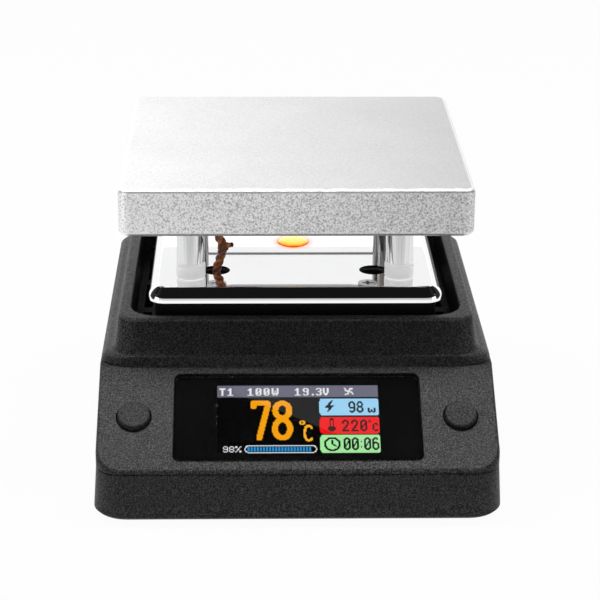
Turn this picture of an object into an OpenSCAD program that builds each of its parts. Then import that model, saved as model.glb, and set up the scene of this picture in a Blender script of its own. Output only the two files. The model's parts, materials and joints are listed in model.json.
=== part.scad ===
// Small soldering hot plate: a square aluminium plate on four posts over a mirror tray,
// in a moulded housing with a sloped control panel. Millimetres, +Z up, -Y towards the user.
// The origin is under the middle of the housing, on the surface that the feet stand on.

/* [Heating plate] */
// Width and depth of the square plate
plate_w = 50; // [47:0.5:54]
// Thickness of the plate
plate_t = 7; // [6:0.1:9]
// Radius of the plate's upright corners
plate_corner_r = 1.6; // [1:0.1:3]
// Radius of the plate's other edges
plate_edge_r = 0.8; // [0.3:0.1:0.9]
// Distance between neighbouring posts
post_pitch = 30.4; // [29.6:0.2:32]
// Diameter of a post
post_d = 4; // [3.6:0.1:4.4]
// Length of a post between its insulator and the plate
post_h = 7.1; // [6.5:0.1:10]
// Diameter of the insulating ring under a post
insulator_d = 4.3; // [4:0.1:4.6]
// Height of the insulating ring
insulator_h = 2.2; // [1.8:0.1:3]
// Diameter of the threads at both ends of a post
post_thread_d = 2.4; // [2:0.1:2.6]
// Width of the ceramic heater
heater_w = 20; // [18:0.5:22]
// Depth of the heater, front to back
heater_d = 12; // [11:0.5:14]
// Thickness of the heater
heater_t = 1.4; // [1:0.1:1.8]
// Thickness of the strap that clamps the heater
clamp_t = 0.8; // [0.6:0.1:1]

/* [Mirror tray] */
// Width and depth of the tray
tray_w = 42.4; // [41.5:0.1:43.5]
// Height of the tray's turned-down edge
tray_h = 2; // [1.8:0.1:2.4]
// Thickness of the tray's sheet
tray_t = 0.5; // [0.4:0.05:0.6]
// Outside radius of the tray's rolled edge
tray_roll_r = 1.6; // [1.2:0.1:1.8]
// Radius of the tray's upright corners
tray_corner_r = 2.4; // [2:0.1:3]
// Height of the tray's top above the collar
tray_rise = 2.8; // [2:0.1:4]
// Diameter of the four holes for leads
lead_hole_d = 4; // [3.4:0.1:4.2]
// Sideways distance of a lead hole from the tray's middle
lead_hole_x = 11.5; // [11.2:0.1:11.8]
// Front-to-back distance of a lead hole from the tray's middle
lead_hole_y = 12.7; // [12.4:0.1:13]
// Diameter of the heat light's lens
lens_d = 4.8; // [4:0.1:5.6]
// Height of the lens's dome above the tray
lens_rise = 0.9; // [0.6:0.1:1.4]

/* [Housing] */
// Width over the foot of the housing
body_w = 56.6; // [56:0.1:60]
// Depth over the foot of the housing
body_d = 72.2; // [71:0.1:76]
// How far each wall of the base leans in towards its top
base_draft = 0.45; // [0.2:0.05:0.6]
// Height of the base shell
base_h = 6.75; // [6:0.05:8]
// Corner radius at the foot of the housing
foot_corner_r = 4.8; // [4:0.1:6]
// Corner radius above the joint of the two shells
corner_r = 3.6; // [3:0.1:4.2]
// Thickness of the housing's walls
wall_t = 1.8; // [1.5:0.1:2]
// Thickness of the floor
floor_t = 1.8; // [1.6:0.1:2.2]
// Height of the shoulder step behind the panel
riser_h = 1.45; // [1.3:0.05:2]
// Sideways reach of the rounded shoulder
shoulder_w = 1.75; // [1.4:0.05:1.8]
// Depth of the deck in front of the middle of the well
deck_reach = 28; // [27.9:0.05:28.4]
// Height of the collar above the deck
collar_h = 4.7; // [4:0.1:6]
// Width and depth over the top of the collar
collar_w = 50.8; // [50.4:0.1:51.6]
// How far the collar's sides lean out towards the deck
collar_lean = 0.6; // [0.3:0.05:0.7]
// How far the collar's front leans out towards the deck
collar_front_lean = 2.25; // [1.8:0.05:2.3]
// Distance of the collar's top from the back of the housing
collar_back = 2.9; // [2.6:0.1:3.6]
// Corner radius of the collar
collar_corner_r = 3; // [2.5:0.1:3.5]
// Radius of the fillet round the collar's foot
collar_fillet = 0.9; // [0.5:0.05:1]
// Width of the collar's flat rim
rim_w = 1.73; // [1.5:0.01:2]
// Corner radius of the well
well_corner_r = 4.2; // [3.5:0.1:4.6]
// Rounding of the housing's outer edges
soft_r = 0.5; // [0.3:0.05:0.6]

/* [Control panel] */
// Slope of the panel
panel_angle = 30.6; // [29:0.1:32]
// Height of the panel's front lip
lip_h = 0.4; // [0.3:0.05:0.6]
// Width of the window
window_w = 34.4; // [32:0.1:35]
// Height of the window along the slope
window_h = 14.85; // [14.6:0.05:15.2]
// Thickness of the window
window_t = 1; // [0.8:0.05:1.1]
// Distance of the window from the panel's lower edge
window_s = 1.75; // [1.7:0.05:2]
// Corner radius of the window
window_r = 1.1; // [0.8:0.1:1.6]
// Width of the lit picture, twice its height
picture_w = 22.6; // [21:0.1:22.8]
// Diameter of a button's cap
button_d = 4.55; // [4:0.05:4.8]
// Gap round a button's cap
button_gap = 0.22; // [0.15:0.01:0.3]
// Height of a button above the panel
button_proud = 0.7; // [0.6:0.05:0.9]
// Travel of a button
button_travel = 0.4; // [0.3:0.05:0.45]
// Distance of a button from the middle
button_x = 22.75; // [22.5:0.05:22.9]
// Distance of a button from the panel's lower edge
button_s = 9.2; // [8.6:0.1:9.8]

/* [Inside] */
// Height of the feet below the floor
foot_proud = 0.6; // [0.5:0.05:1]
// Diameter of a foot
foot_d = 7; // [6:0.1:8]
// Width of the fan
fan_w = 25; // [24:0.5:25.5]
// Thickness of the fan
fan_t = 7; // [6.5:0.1:8]
// Diameter of the fan's shaft
fan_shaft_d = 1.5; // [1.2:0.1:2]
// Number of fan blades
fan_blades = 7; // [5:1:9]
// Thickness of the circuit boards
board_t = 1.2; // [1:0.1:1.4]
// Diameter of the screws that hold the two shells together
shell_screw_d = 2; // [1.8:0.1:2.2]

/* [Hidden] */

$fn = 48;
skin = 0.01;          // thickness of the slices that a hull is stretched over
fit_gap = 0.1;        // gap round a piece that drops into a pocket
thread_gap = 0.02;    // radial gap between a screw and its hole
run_gap = 0.03;       // radial gap of a turning or sliding fit

// Plan sizes
top_w = body_w - 2 * base_draft;
front_y = -body_d / 2 + base_draft;
back_y = body_d / 2 - base_draft;
well_y = body_d / 2 - collar_back - collar_w / 2;
well_w = collar_w - 2 * rim_w;
deck_y = well_y - deck_reach;
inner_w = top_w - 2 * wall_t;
inner_front = front_y + wall_t;
inner_back = back_y - wall_t;

// Levels, from the floor up
floor_z = foot_proud;
inside_z = floor_z + floor_t;
part_z = floor_z + base_h;
panel_z = part_z + lip_h;
shoulder_z = panel_z + (deck_y - front_y) * tan(panel_angle);
deck_z = shoulder_z + riser_h;
rim_z = deck_z + collar_h;
tray_z = rim_z + tray_rise;
post_z = tray_z + insulator_h;
plate_z = post_z + post_h;
plate_top = plate_z + plate_t;

// The liner hangs under the deck and carries the tray on its pedestal
under_deck_z = deck_z - 1.3;
liner_t = 1.5;
flange_z = under_deck_z - liner_t;
flange_gap = 0.45;
flange_w = inner_w - 2 * flange_gap;
flange_front = deck_y + wall_t + flange_gap + 0.15;
pedestal_w = tray_w - 2 * tray_t - 0.7;
pedestal_r = tray_corner_r - tray_t - 0.35;
table_w = tray_w - 2 * tray_roll_r - 0.4;
roof_t = 1.4;
roof_z = tray_z - tray_t - roof_t;

// Screws that clamp the shells
shell_screw_xy = collar_w / 2 - 1.1;
shell_boss_r = 2.3;
shell_head_r = 1.9;
shell_head_t = 1.6;
shell_seat_z = floor_z + 2.2;
shell_screw_top = under_deck_z - 3;

// Panel stack, measured down from the panel's face
panel_skin = wall_t;
window_recess = 0.1;
window_ledge = 1.2;
picture_h = picture_w / 2;
screen_w = picture_w + 1.6;
screen_h = picture_h + 0.7;
screen_top = window_recess + window_t + 0.05;
screen_t = 1.6;
board_n = panel_skin + 2.6;
control_w = inner_w - 2.1;
control_s = [3.2, 15.9];
control_t = 1;
control_screw_x = 17.7;
control_screw_s = [5, 14];
control_screw_r = 0.7;
control_boss_r = 1.3;

// Buttons and their switches
cap_flange_r = button_d / 2 + 0.62;
cap_flange_t = 0.55;
cap_seat = panel_skin + 0.05;
stem_top = cap_seat + cap_flange_t;
stem_r = 1.2;
switch_w = 4.6;
switch_top = stem_top + button_travel + 0.3;
stem_len = switch_top - stem_top + 0.4;

// Feet, the rear ones beside the shell screws
foot_from_screw = [4.3, 4.9];
foot_inset = 7;
foot_x = shell_screw_xy - foot_from_screw[0];
foot_front = front_y + foot_inset;
foot_rear = well_y + shell_screw_xy - foot_from_screw[1];
foot_recess = 0.8;

// Fan, on the floor in front of the main board
fan_z = inside_z;
fan_duct_r = fan_w / 2 - 0.9;
fan_back = 1;
fan_y = well_y - fan_w / 2 + fan_back;
fan_hub_r = 6;
fan_tip_r = fan_duct_r - 0.5;
fan_hole_pitch = fan_w - 5;
fan_top = fan_z + fan_t;
fan_screw_r = 0.9;

// Main board and what stands on it
main_w = 40;
port_inset = 0.3;
jack_neck = wall_t + 0.8;
main_front = well_y + fan_back + 0.7;
main_back = back_y - port_inset - jack_neck - fit_gap;
standoff_h = 2;
main_z = inside_z + standoff_h;
main_top = main_z + board_t;
main_screw_in = 2.5;
main_screw_x = main_w / 2 - main_screw_in;
main_screw_y = [main_front + main_screw_in, main_back - main_screw_in];
main_screw_r = 0.8;
main_head_r = 1.5;
main_head_t = 1;
main_grip = 1.8;
usb_x = -9;
usb_size = [8.94, 7.35, 3.26];
jack_x = 9;
jack_size = [9, 12, 6.8];
jack_z = main_top + jack_size[2] / 2;
jack_mouth_r = 3.9;
jack_bore_r = 3.05;
port_gap = 0.3;

// Heater parts
pocket_gap = 0.3;
clamp_ear = 2.8;
clamp_size = [heater_w + 2 * (pocket_gap + clamp_ear), 8];
clamp_screw_xy = [clamp_size[0] / 2 - clamp_ear / 2, 2.2];
clamp_screw_r = 0.8;
sensor_r = 0.9;
stud_len = 3.6;
post_bore = 5;
post_grip = 4.4;
post_head_r = 2.2;
post_head_t = 1.5;
sensor_y = -12.6;

// Heat light under the tray
light_boss_x = 6.5;
light_boss_r = 1.5;
light_gap = 1.8;
light_board_size = [17, 6.4, 0.8];

// Route of the heater's braided lead, chosen by hand about the middle of the well, from heater to plug
lead_d = 1.2;
lead_points = [[-5, -5.6, 34.2], [-8, -9, 34.2], [-10.6, -11.5, 33.1], [-11.1, -12.6, 31.2],
               [-10.5, -12.7, 29.6], [-10.9, -12.7, 27.9], [-11.4, -12.7, 26.2], [-11.5, -12.6, 24.2],
               [-11.3, -11.4, 21], [-10.7, -8.2, 18], [-9.8, -3.8, 15.8], [-9, 1, 14.6],
               [-8.5, 4, 12.9], [-8.5, 4.2, 10.9]];
lead_route = [for (p = lead_points) p + [0, well_y, 0]];
lead_sides = 8;
lead_steps = 2;
tie_point = 4;
plug_size = [6, 4];
plug_gap = 0.2;

// Rounded rectangle, w wide and from y0 to y1
module outline(w, y0, y1, r) {
    translate([0, (y0 + y1) / 2]) {
        square([w - 2 * r, y1 - y0], center = true);
        square([w, y1 - y0 - 2 * r], center = true);
        for (x = [-1, 1], y = [-1, 1])
            translate([x * (w / 2 - r), y * ((y1 - y0) / 2 - r)]) circle(r);
    }
}

module block(w, y0, y1, r, z0, z1) {
    translate([0, 0, z0]) linear_extrude(z1 - z0) outline(w, y0, y1, r);
}

// Points round the same outline at height z, for lofts
function outline_ring(w, y0, y1, r, z, steps = 8) =
    [for (c = [[1, 1, 0], [-1, 1, 90], [-1, -1, 180], [1, -1, 270]], i = [0 : steps])
        let (a = c[2] + 90 * i / steps)
        [c[0] * (w / 2 - r) + r * cos(a), (y0 + y1) / 2 + c[1] * ((y1 - y0) / 2 - r) + r * sin(a), z]];

// Solid with its skin stretched over rings of points, from the lowest up
module lofted(rings) {
    sides = len(rings[0]);
    last = len(rings) - 1;
    points = [for (ring = rings) each ring];
    walls = [for (i = [0 : last - 1], j = [0 : sides - 1])
        let (k = (j + 1) % sides, low = i * sides, high = low + sides)
        each [[low + j, high + j, high + k], [low + j, high + k, low + k]]];
    ends = [[for (j = [0 : sides - 1]) j], [for (j = [sides - 1 : -1 : 0]) last * sides + j]];
    polyhedron(points, concat(walls, ends), convexity = 4);
}

// Round columns at the block's four corners, for hulls
module corners(w, y0, y1, r, z0, z1) {
    for (x = [-1, 1], y = [y0 + r, y1 - r])
        translate([x * (w / 2 - r), y, z0]) cylinder(h = z1 - z0, r = r);
}

// Thin slice whose top is at z, for hulls
module slice(w, y0, y1, r, z) {
    corners(w, y0, y1, r, z - skin, z);
}

// Square slices about the middle of the well
module well_slice(w, r, z) {
    slice(w, well_y - w / 2, well_y + w / 2, r, z);
}

module well_block(w, r, z0, z1) {
    block(w, well_y - w / 2, well_y + w / 2, r, z0, z1);
}

module tube(r_out, r_in, z0, z1) {
    translate([0, 0, z0]) difference() {
        cylinder(h = z1 - z0, r = r_out);
        translate([0, 0, -1]) cylinder(h = z1 - z0 + 2, r = r_in);
    }
}

module rod(r, z0, z1) {
    translate([0, 0, z0]) cylinder(h = z1 - z0, r = r);
}

// Panel frame: X across, Y up the slope, Z out of the panel
module on_panel() {
    translate([0, front_y, panel_z]) rotate([panel_angle, 0, 0]) children();
}

module at_posts() {
    for (x = [-1, 1], y = [-1, 1]) translate([x * post_pitch / 2, well_y + y * post_pitch / 2, 0]) children();
}

module at_shell_screws() {
    for (x = [-1, 1], y = [-1, 1])
        translate([x * shell_screw_xy, well_y + y * shell_screw_xy, 0]) children();
}

module at_lead_holes() {
    for (x = [-1, 1], y = [-1, 1]) translate([x * lead_hole_x, well_y + y * lead_hole_y, 0]) children();
}

module at_main_screws() {
    for (x = [-1, 1], y = main_screw_y) translate([x * main_screw_x, y, 0]) children();
}

module at_fan_screws() {
    for (x = [-1, 1], y = [-1, 1])
        translate([x * fan_hole_pitch / 2, fan_y + y * fan_hole_pitch / 2, 0]) children();
}

module at_control_screws() {
    on_panel() for (x = [-1, 1], s = control_screw_s) translate([x * control_screw_x, s, 0]) children();
}

module at_light_screws() {
    for (x = [-1, 1]) translate([x * light_boss_x, well_y, 0]) children();
}

// Openings in the back wall, cut from both shells
module ports() {
    usb_z = main_top + usb_size[2] / 2;
    translate([usb_x, inner_back - 1, usb_z]) rotate([-90, 0, 0]) linear_extrude(wall_t + 3)
        stadium(usb_size[0] + 2 * port_gap, usb_size[2] + 2 * port_gap);
    translate([jack_x, inner_back - 1, jack_z]) rotate([-90, 0, 0])
        cylinder(h = wall_t + 3, r = jack_mouth_r + port_gap);
}

module stadium(w, h) {
    square([w - h, h], center = true);
    for (x = [-1, 1]) translate([x * (w - h) / 2, 0]) circle(h / 2);
}

// Air slots under the fan: rings broken by four spokes
module intake() {
    ring_w = 1.3;
    web = 1.1;
    spoke = 1.6;
    first = 2.6;
    count = floor((fan_duct_r - first) / (ring_w + web));
    for (i = [0 : count - 1]) {
        inner = first + i * (ring_w + web);
        difference() {
            tube(inner + ring_w, inner, floor_z - 1, inside_z + 1);
            for (a = [45, 135])
                rotate(a) translate([-fan_w, -spoke / 2, floor_z - 2]) cube([2 * fan_w, spoke, floor_t + 4]);
        }
    }
}

module base_shell() {
    rib_w = 1.95;
    rib_len = 5;
    rib_y = 10;
    rail_t = 0.8;
    rail_h = 1;
    rail_len = 2 * (shell_screw_xy - shell_boss_r - 1.2);
    edge = 0.25;
    foot_edge = 0.4;
    color("#2b2c2f") difference() {
        union() {
            difference() {
                hull() {
                    slice(body_w - 2 * foot_edge, foot_edge - body_d / 2, body_d / 2 - foot_edge,
                          foot_corner_r - foot_edge, floor_z + skin);
                    slice(body_w, -body_d / 2, body_d / 2, foot_corner_r, floor_z + foot_edge);
                    slice(top_w, front_y, back_y, corner_r, part_z - edge);
                    slice(top_w - 2 * edge, front_y + edge, back_y - edge, corner_r - edge, part_z);
                }
                block(inner_w, inner_front, inner_back, 2, inside_z, part_z + 1);
            }
            at_shell_screws() rod(shell_boss_r, floor_z + skin, part_z);
            at_main_screws() rod(1.9, inside_z - skin, main_z);
            for (x = [-1, 1], y = [-1, 1])
                translate([x * (inner_w / 2 - 2 * fit_gap - rib_w / 2), well_y + y * rib_y, inside_z - skin])
                    linear_extrude(flange_z - inside_z + skin) square([rib_w, rib_len], center = true);
            for (x = [-1, 1])
                translate([x * (inner_w / 2 - fit_gap - rail_t / 2), well_y, part_z])
                    cube([rail_t, rail_len, 2 * rail_h], center = true);
        }
        at_shell_screws() rod(shell_screw_d / 2 + 0.1, floor_z - 1, part_z + 1);
        at_shell_screws() rod(shell_head_r + 0.2, floor_z - 1, shell_seat_z);
        at_main_screws() rod(main_screw_r + thread_gap, inside_z - 0.6, main_z + 1);
        at_fan_screws() rod(fan_screw_r + thread_gap, floor_z + 0.6, inside_z + 1);
        at_feet() rod(foot_d / 2 + 0.05, floor_z - 1, floor_z + foot_recess);
        translate([0, fan_y, 0]) intake();
        ports();
    }
}

module at_feet() {
    for (x = [-1, 1], y = [foot_front, foot_rear]) translate([x * foot_x, y, 0]) children();
}

// Solid outside of the upper shell: body with sloped panel, rounded shoulder, leaning collar
module top_form() {
    run = shoulder_z - part_z;
    hull() {
        slice(top_w, front_y, back_y, corner_r, part_z + skin);
        for (a = [0 : 45 : 90]) {
            in = soft_r * (1 - cos(a));
            drop = soft_r * (1 - sin(a));
            intersection() {
                hull() corners(top_w - 2 * in, front_y + in, back_y, corner_r - in, part_z, shoulder_z);
                on_panel() translate([-body_w, -1, -3 * run - drop]) cube([2 * body_w, body_d, 3 * run]);
            }
        }
        slice(top_w, deck_y + 1, back_y, corner_r, shoulder_z);
    }
    hull() {
        for (a = [0 : 15 : 90]) {
            in = shoulder_w * (1 - cos(a));
            slice(top_w - 2 * in, deck_y, back_y - in, corner_r,
                  shoulder_z + skin + (riser_h - skin) * sin(a));
        }
    }
    collar();
}

// Outline of the collar at height z, grown by out; down at its foot, front and sides lean out
function collar_ring(z, out, front_out) =
    let (lean = 1 - (z - deck_z) / collar_h, half = collar_w / 2)
    outline_ring(collar_w + 2 * (collar_lean * lean + out),
                 well_y - half - collar_front_lean * lean - front_out,
                 well_y + half + collar_lean * lean + out,
                 collar_corner_r + collar_lean * lean + out, z);

// The fillet's toe lies on the rounded shoulder, so it starts a little below the deck
module collar() {
    steps = [0 : 15 : 90];
    toe_gap = (top_w - collar_w) / 2 - collar_lean - collar_fillet;
    toe_drop = riser_h * (1 - sin(acos(1 - toe_gap / shoulder_w)));
    front_share = (deck_reach - collar_w / 2 - collar_front_lean - 0.05) / collar_fillet;
    foot = [for (a = steps) let (out = collar_fillet * (1 - sin(a)))
        collar_ring(deck_z - toe_drop + collar_fillet * (1 - cos(a)), out, out * front_share)];
    brow = [for (a = steps) let (in = soft_r * (1 - cos(a)))
        collar_ring(rim_z - soft_r * (1 - sin(a)), -in, -in)];
    lofted(concat([[for (p = foot[0]) [p[0], p[1], shoulder_z]]], foot, brow));
}

// Hollow of the upper shell, as a profile across the panel
module top_hollow() {
    skin_drop = panel_skin / cos(panel_angle);
    start_y = front_y + (part_z - panel_z + skin_drop) / tan(panel_angle);
    step_y = deck_y + wall_t;
    step_z = panel_z + (step_y - front_y) * tan(panel_angle) - skin_drop;
    rotate([90, 0, 90]) linear_extrude(inner_w, center = true)
        polygon([[start_y, part_z], [step_y, step_z], [step_y, under_deck_z], [inner_back, under_deck_z],
                 [inner_back, part_z - 1], [start_y, part_z - 1]]);
}

module back_vents() {
    vent_w = 1;
    vent_pitch = 1.9;
    vent_h = 5;
    for (x = [-1, 1], i = [0 : 3])
        translate([x * (15.2 + i * vent_pitch) - vent_w / 2, inner_back - 1, part_z + 2.2])
            cube([vent_w, wall_t + 3, vent_h]);
}

module top_housing() {
    rim_edge = 0.25;
    open_w = window_w - 2 * window_ledge;
    pocket = window_recess + window_t;
    color("#303134") difference() {
        union() {
            difference() {
                top_form();
                top_hollow();
            }
            at_shell_screws() rod(shell_boss_r, part_z, under_deck_z + 1);
            at_control_screws() translate([0, 0, -board_n]) cylinder(h = board_n - 1, r = control_boss_r);
        }
        well_block(well_w, well_corner_r, part_z - 1, rim_z + 1);
        hull() {
            well_slice(well_w, well_corner_r, rim_z - rim_edge);
            well_slice(well_w + 3 * rim_edge, well_corner_r + rim_edge, rim_z + 0.5 * rim_edge);
        }
        on_panel() {
            translate([0, 0, -pocket]) linear_extrude(pocket + 1)
                outline(window_w + 2 * fit_gap, window_s - fit_gap, window_s + window_h + fit_gap, window_r);
            translate([0, 0, -board_n]) linear_extrude(board_n)
                outline(open_w, window_s + window_ledge, window_s + window_h - window_ledge, 0.5);
            for (x = [-1, 1])
                translate([x * button_x, button_s, -panel_skin - 1])
                    cylinder(h = panel_skin + 2, r = button_d / 2 + button_gap);
        }
        at_shell_screws() rod(shell_screw_d / 2 + thread_gap, part_z - 1, shell_screw_top + 0.5);
        at_control_screws() translate([0, 0, -board_n - 1]) cylinder(h = 3.2, r = control_screw_r + thread_gap);
        ports();
        back_vents();
    }
}

// Flange under the deck, and the hollow pedestal that carries the tray
module well_liner() {
    slot = 1.3;
    slot_len = 10;
    gap_y = (pedestal_w + well_w) / 4;
    color("#141416") difference() {
        union() {
            block(flange_w, flange_front, inner_back - flange_gap, 2, flange_z, under_deck_z);
            well_block(pedestal_w, pedestal_r, flange_z, tray_z - tray_roll_r);
            well_block(table_w, pedestal_r, flange_z, roof_z + roof_t);
        }
        difference() {
            well_block(table_w - 2 * roof_t, 1, flange_z - 1, roof_z);
            at_light_screws() rod(light_boss_r, roof_z - light_gap, roof_z + 0.2);
        }
        at_shell_screws() rod(shell_boss_r + 0.3, flange_z - 1, under_deck_z + 1);
        at_posts() rod(post_thread_d / 2 + 0.1, roof_z - 1, tray_z);
        at_posts() rod(post_head_r + 0.3, flange_z - 1, roof_z);
        at_lead_holes() rod(lead_hole_d / 2 - 0.4, roof_z - 1, tray_z);
        translate([0, well_y, 0]) rod(lens_d / 2 + 0.05, roof_z - 1, tray_z);
        at_light_screws() rod(0.6 + thread_gap, roof_z - light_gap - 1, roof_z + 0.6);
        for (a = [0 : 90 : 270], i = [-1 : 1])
            translate([0, well_y, 0]) rotate(a)
                translate([i * (slot_len + 2), -gap_y, (flange_z + under_deck_z) / 2])
                    cube([slot_len, slot, liner_t + 2], center = true);
    }
}

// Half section of a plate with a rounded upper edge, from its middle out to reach
module rolled(reach, roll, z_low, z_top) {
    translate([0, z_low]) square([reach - roll, z_top - z_low]);
    translate([0, z_low]) square([reach, z_top - roll - z_low]);
    intersection() {
        translate([reach - roll, z_top - roll]) circle(roll);
        translate([reach - roll, z_low]) square([roll, z_top - z_low]);
    }
}

// Section of the tray's sheet, from the middle of a corner outwards
module sheet_section() {
    difference() {
        rolled(tray_corner_r, tray_roll_r, tray_z - tray_h, tray_z);
        translate([-1, 0])
            rolled(tray_corner_r - tray_t + 1, tray_roll_r - tray_t, tray_z - tray_h - 1, tray_z - tray_t);
    }
}

// Pressed from sheet: a flat top, four rolled sides and four rolled corners
module reflector_tray() {
    mid = tray_w / 2 - tray_corner_r;
    color("#e8e9ec") difference() {
        translate([0, well_y, 0]) {
            translate([-mid, -mid, tray_z - tray_t]) cube([2 * mid, 2 * mid, tray_t]);
            for (a = [0 : 90 : 270])
                rotate(a) translate([mid, mid, 0]) {
                    rotate([90, 0, 0]) linear_extrude(2 * mid) sheet_section();
                    rotate_extrude(angle = 90) sheet_section();
                }
        }
        at_posts() rod(post_thread_d / 2 + 0.1, tray_z - 1, tray_z + 1);
        at_lead_holes() rod(lead_hole_d / 2, tray_z - 1, tray_z + 1);
        translate([0, well_y, 0]) rod(lens_d / 2 + 0.05, tray_z - 1, tray_z + 1);
    }
}

// Outline of the plate at height z, drawn in by in
function plate_ring(z, in) = let (half = plate_w / 2 - in)
    outline_ring(2 * half, well_y - half, well_y + half, plate_corner_r - in / 2, z);

module heating_plate() {
    steps = [0 : 18 : 90];
    low = [for (a = steps) plate_ring(plate_z + plate_edge_r * (1 - cos(a)), plate_edge_r * (1 - sin(a)))];
    high = [for (a = steps) plate_ring(plate_top - plate_edge_r * (1 - sin(a)), plate_edge_r * (1 - cos(a)))];
    color("#d4d5d6") difference() {
        lofted(concat(low, high));
        at_posts() rod(post_thread_d / 2 + thread_gap, plate_z - 1, plate_z + stud_len + 0.4);
        heater_block(pocket_gap, plate_z - 1, plate_z + heater_t);
        at_clamp_screws() rod(clamp_screw_r + thread_gap, plate_z - 1, plate_z + 3);
        translate([0, well_y + sensor_y, 0]) rod(sensor_r + 0.05, plate_z - 1, plate_z + 3.6);
    }
}

module at_clamp_screws() {
    for (x = [-1, 1], y = [-1, 1])
        translate([x * clamp_screw_xy[0], well_y + y * clamp_screw_xy[1], 0]) children();
}

// The heater's form, grown by gap for its pocket
module heater_block(gap, z0, z1) {
    half = heater_d / 2 + gap;
    block(heater_w + 2 * gap, well_y - half, well_y + half, 1, z0, z1);
}

module heater_element() {
    color("#e9e4d8") heater_block(0, plate_z, plate_z + heater_t);
}

module heater_clamp() {
    half = clamp_size[1] / 2;
    color("#b9babd") difference() {
        block(clamp_size[0], well_y - half, well_y + half, 1.2, plate_z - clamp_t, plate_z);
        at_clamp_screws() rod(clamp_screw_r + 0.1, plate_z - clamp_t - 1, plate_z + 1);
    }
}

// Pan-head screw, head down, seat at z0 and tip at z1
module screw(r, head_r, head_t, z0, z1) {
    difference() {
        union() {
            rod(head_r, z0 - head_t, z0);
            rod(r, z0 - skin, z1);
        }
        for (a = [0, 90])
            rotate(a) translate([0, 0, z0 - head_t]) cube([head_r * 1.1, head_r * 0.28, head_t], center = true);
    }
}

module clamp_screws() {
    color("#8e9095") at_clamp_screws() screw(clamp_screw_r, 1.5, 1, plate_z - clamp_t, plate_z + 2.6);
}

// Glass bead in its hole, with the short leg that runs to the tie
module temperature_sensor() {
    color("#a35a2c") translate([0, well_y + sensor_y, 0]) {
        rod(sensor_r, plate_z - 0.3, plate_z + 3.4);
        translate([0, 0, plate_z - 0.6]) rotate([0, -90, 0]) cylinder(h = 8.6, r = 0.28, $fn = 16);
        rod(0.28, plate_z - 0.88, plate_z, $fn = 16);
    }
}

// A point on the smooth curve through four route points
function between(a, b, c, d, t) =
    0.5 * (2 * b + (c - a) * t + (2 * a - 5 * b + 4 * c - d) * t * t + (3 * b - 3 * c + d - a) * t * t * t);

function smooth(route, steps) = let (last = len(route) - 1)
    [for (i = [0 : last - 1], k = [0 : steps - 1])
        between(route[max(i - 1, 0)], route[i], route[i + 1], route[min(i + 2, last)], k / steps),
     route[last]];

function heading(path, i) = let (d = path[min(i + 1, len(path) - 1)] - path[max(i - 1, 0)]) d / norm(d);

function ring(centre, along, r, sides) =
    let (side = cross(along, [0.8, 0.6, 0]), u = side / norm(side), v = cross(along, u))
    [for (j = [0 : sides - 1]) centre + r * (cos(360 * j / sides) * u + sin(360 * j / sides) * v)];

module heater_lead() {
    path = smooth(lead_route, lead_steps);
    r = lead_d / 2;
    color("#6b3a20") lofted([for (i = [0 : len(path) - 1]) ring(path[i], heading(path, i), r, lead_sides)]);
}

// Thread tied round the lead, with its two cut ends
module lead_tie() {
    color("#3a2216") translate(lead_route[tie_point]) {
        tube(lead_d / 2 + 0.3, lead_d / 2 + 0.08, -0.3, 0.3);
        translate([lead_d / 2 + 0.2, 0, 0]) rotate([0, 80, 0]) cylinder(h = 1, r1 = 0.28, r2 = 0.16);
    }
}

// One post: collar-free rod with a threaded stud on top and a threaded bore below
module post(x, y) {
    color("#c9cacd") translate([x * post_pitch / 2, well_y + y * post_pitch / 2, 0]) difference() {
        union() {
            rod(post_d / 2, post_z, plate_z);
            rod(post_thread_d / 2, plate_z - skin, plate_z + stud_len);
        }
        rod(post_thread_d / 2 + thread_gap, post_z - 1, post_z + post_bore);
    }
}

module insulator(x, y) {
    color("#eeeeea") translate([x * post_pitch / 2, well_y + y * post_pitch / 2, 0])
        tube(insulator_d / 2, post_thread_d / 2 + 0.1, tray_z, post_z);
}

module post_screws() {
    color("#8e9095") at_posts()
        screw(post_thread_d / 2, post_head_r, post_head_t, roof_z, post_z + post_grip);
}

// Domed lens with a flange under the liner's roof
module light_lens() {
    r = lens_d / 2;
    dome_r = (r * r + lens_rise * lens_rise) / (2 * lens_rise);
    color("#ff9a2a") translate([0, well_y, 0]) {
        rod(r, roof_z - 0.1, tray_z);
        rod(r + 0.8, roof_z - 0.8, roof_z);
        rotate_extrude() intersection() {
            translate([0, tray_z + lens_rise - dome_r]) circle(dome_r, $fn = 96);
            translate([0, tray_z - skin]) square([r, lens_rise + skin]);
        }
    }
}

module light_board() {
    z = roof_z - light_gap;
    color("#1d5a3a") difference() {
        union() {
            translate([-light_board_size[0] / 2, well_y - light_board_size[1] / 2, z - light_board_size[2]])
                cube(light_board_size);
            translate([-1.4, well_y - 1.4, z - skin]) cube([2.8, 2.8, 0.9]);
        }
        at_light_screws() rod(0.7, z - light_board_size[2] - 1, z + 1);
    }
}

module light_screws() {
    seat = roof_z - light_gap - light_board_size[2];
    color("#8e9095") at_light_screws() screw(0.6, 1.1, 0.6, seat, roof_z + 0.4);
}

module display_window() {
    color("#0b0c0e") on_panel() translate([0, 0, -window_recess - window_t]) linear_extrude(window_t)
        outline(window_w, window_s, window_s + window_h, window_r - 0.1);
}

module display_module() {
    mid = window_s + window_h / 2;
    color("#111827") on_panel() translate([0, 0, -screen_top - screen_t]) linear_extrude(screen_t)
        outline(screen_w, mid - screen_h / 2, mid + screen_h / 2, 0.4);
}

module display_pad() {
    mid = window_s + window_h / 2;
    low = screen_h / 2 - 1.2;
    color("#3b3f45") on_panel() translate([0, 0, -board_n]) linear_extrude(board_n - screen_top - screen_t)
        outline(screen_w - 4, mid - low, mid + low, 0.4);
}

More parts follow.
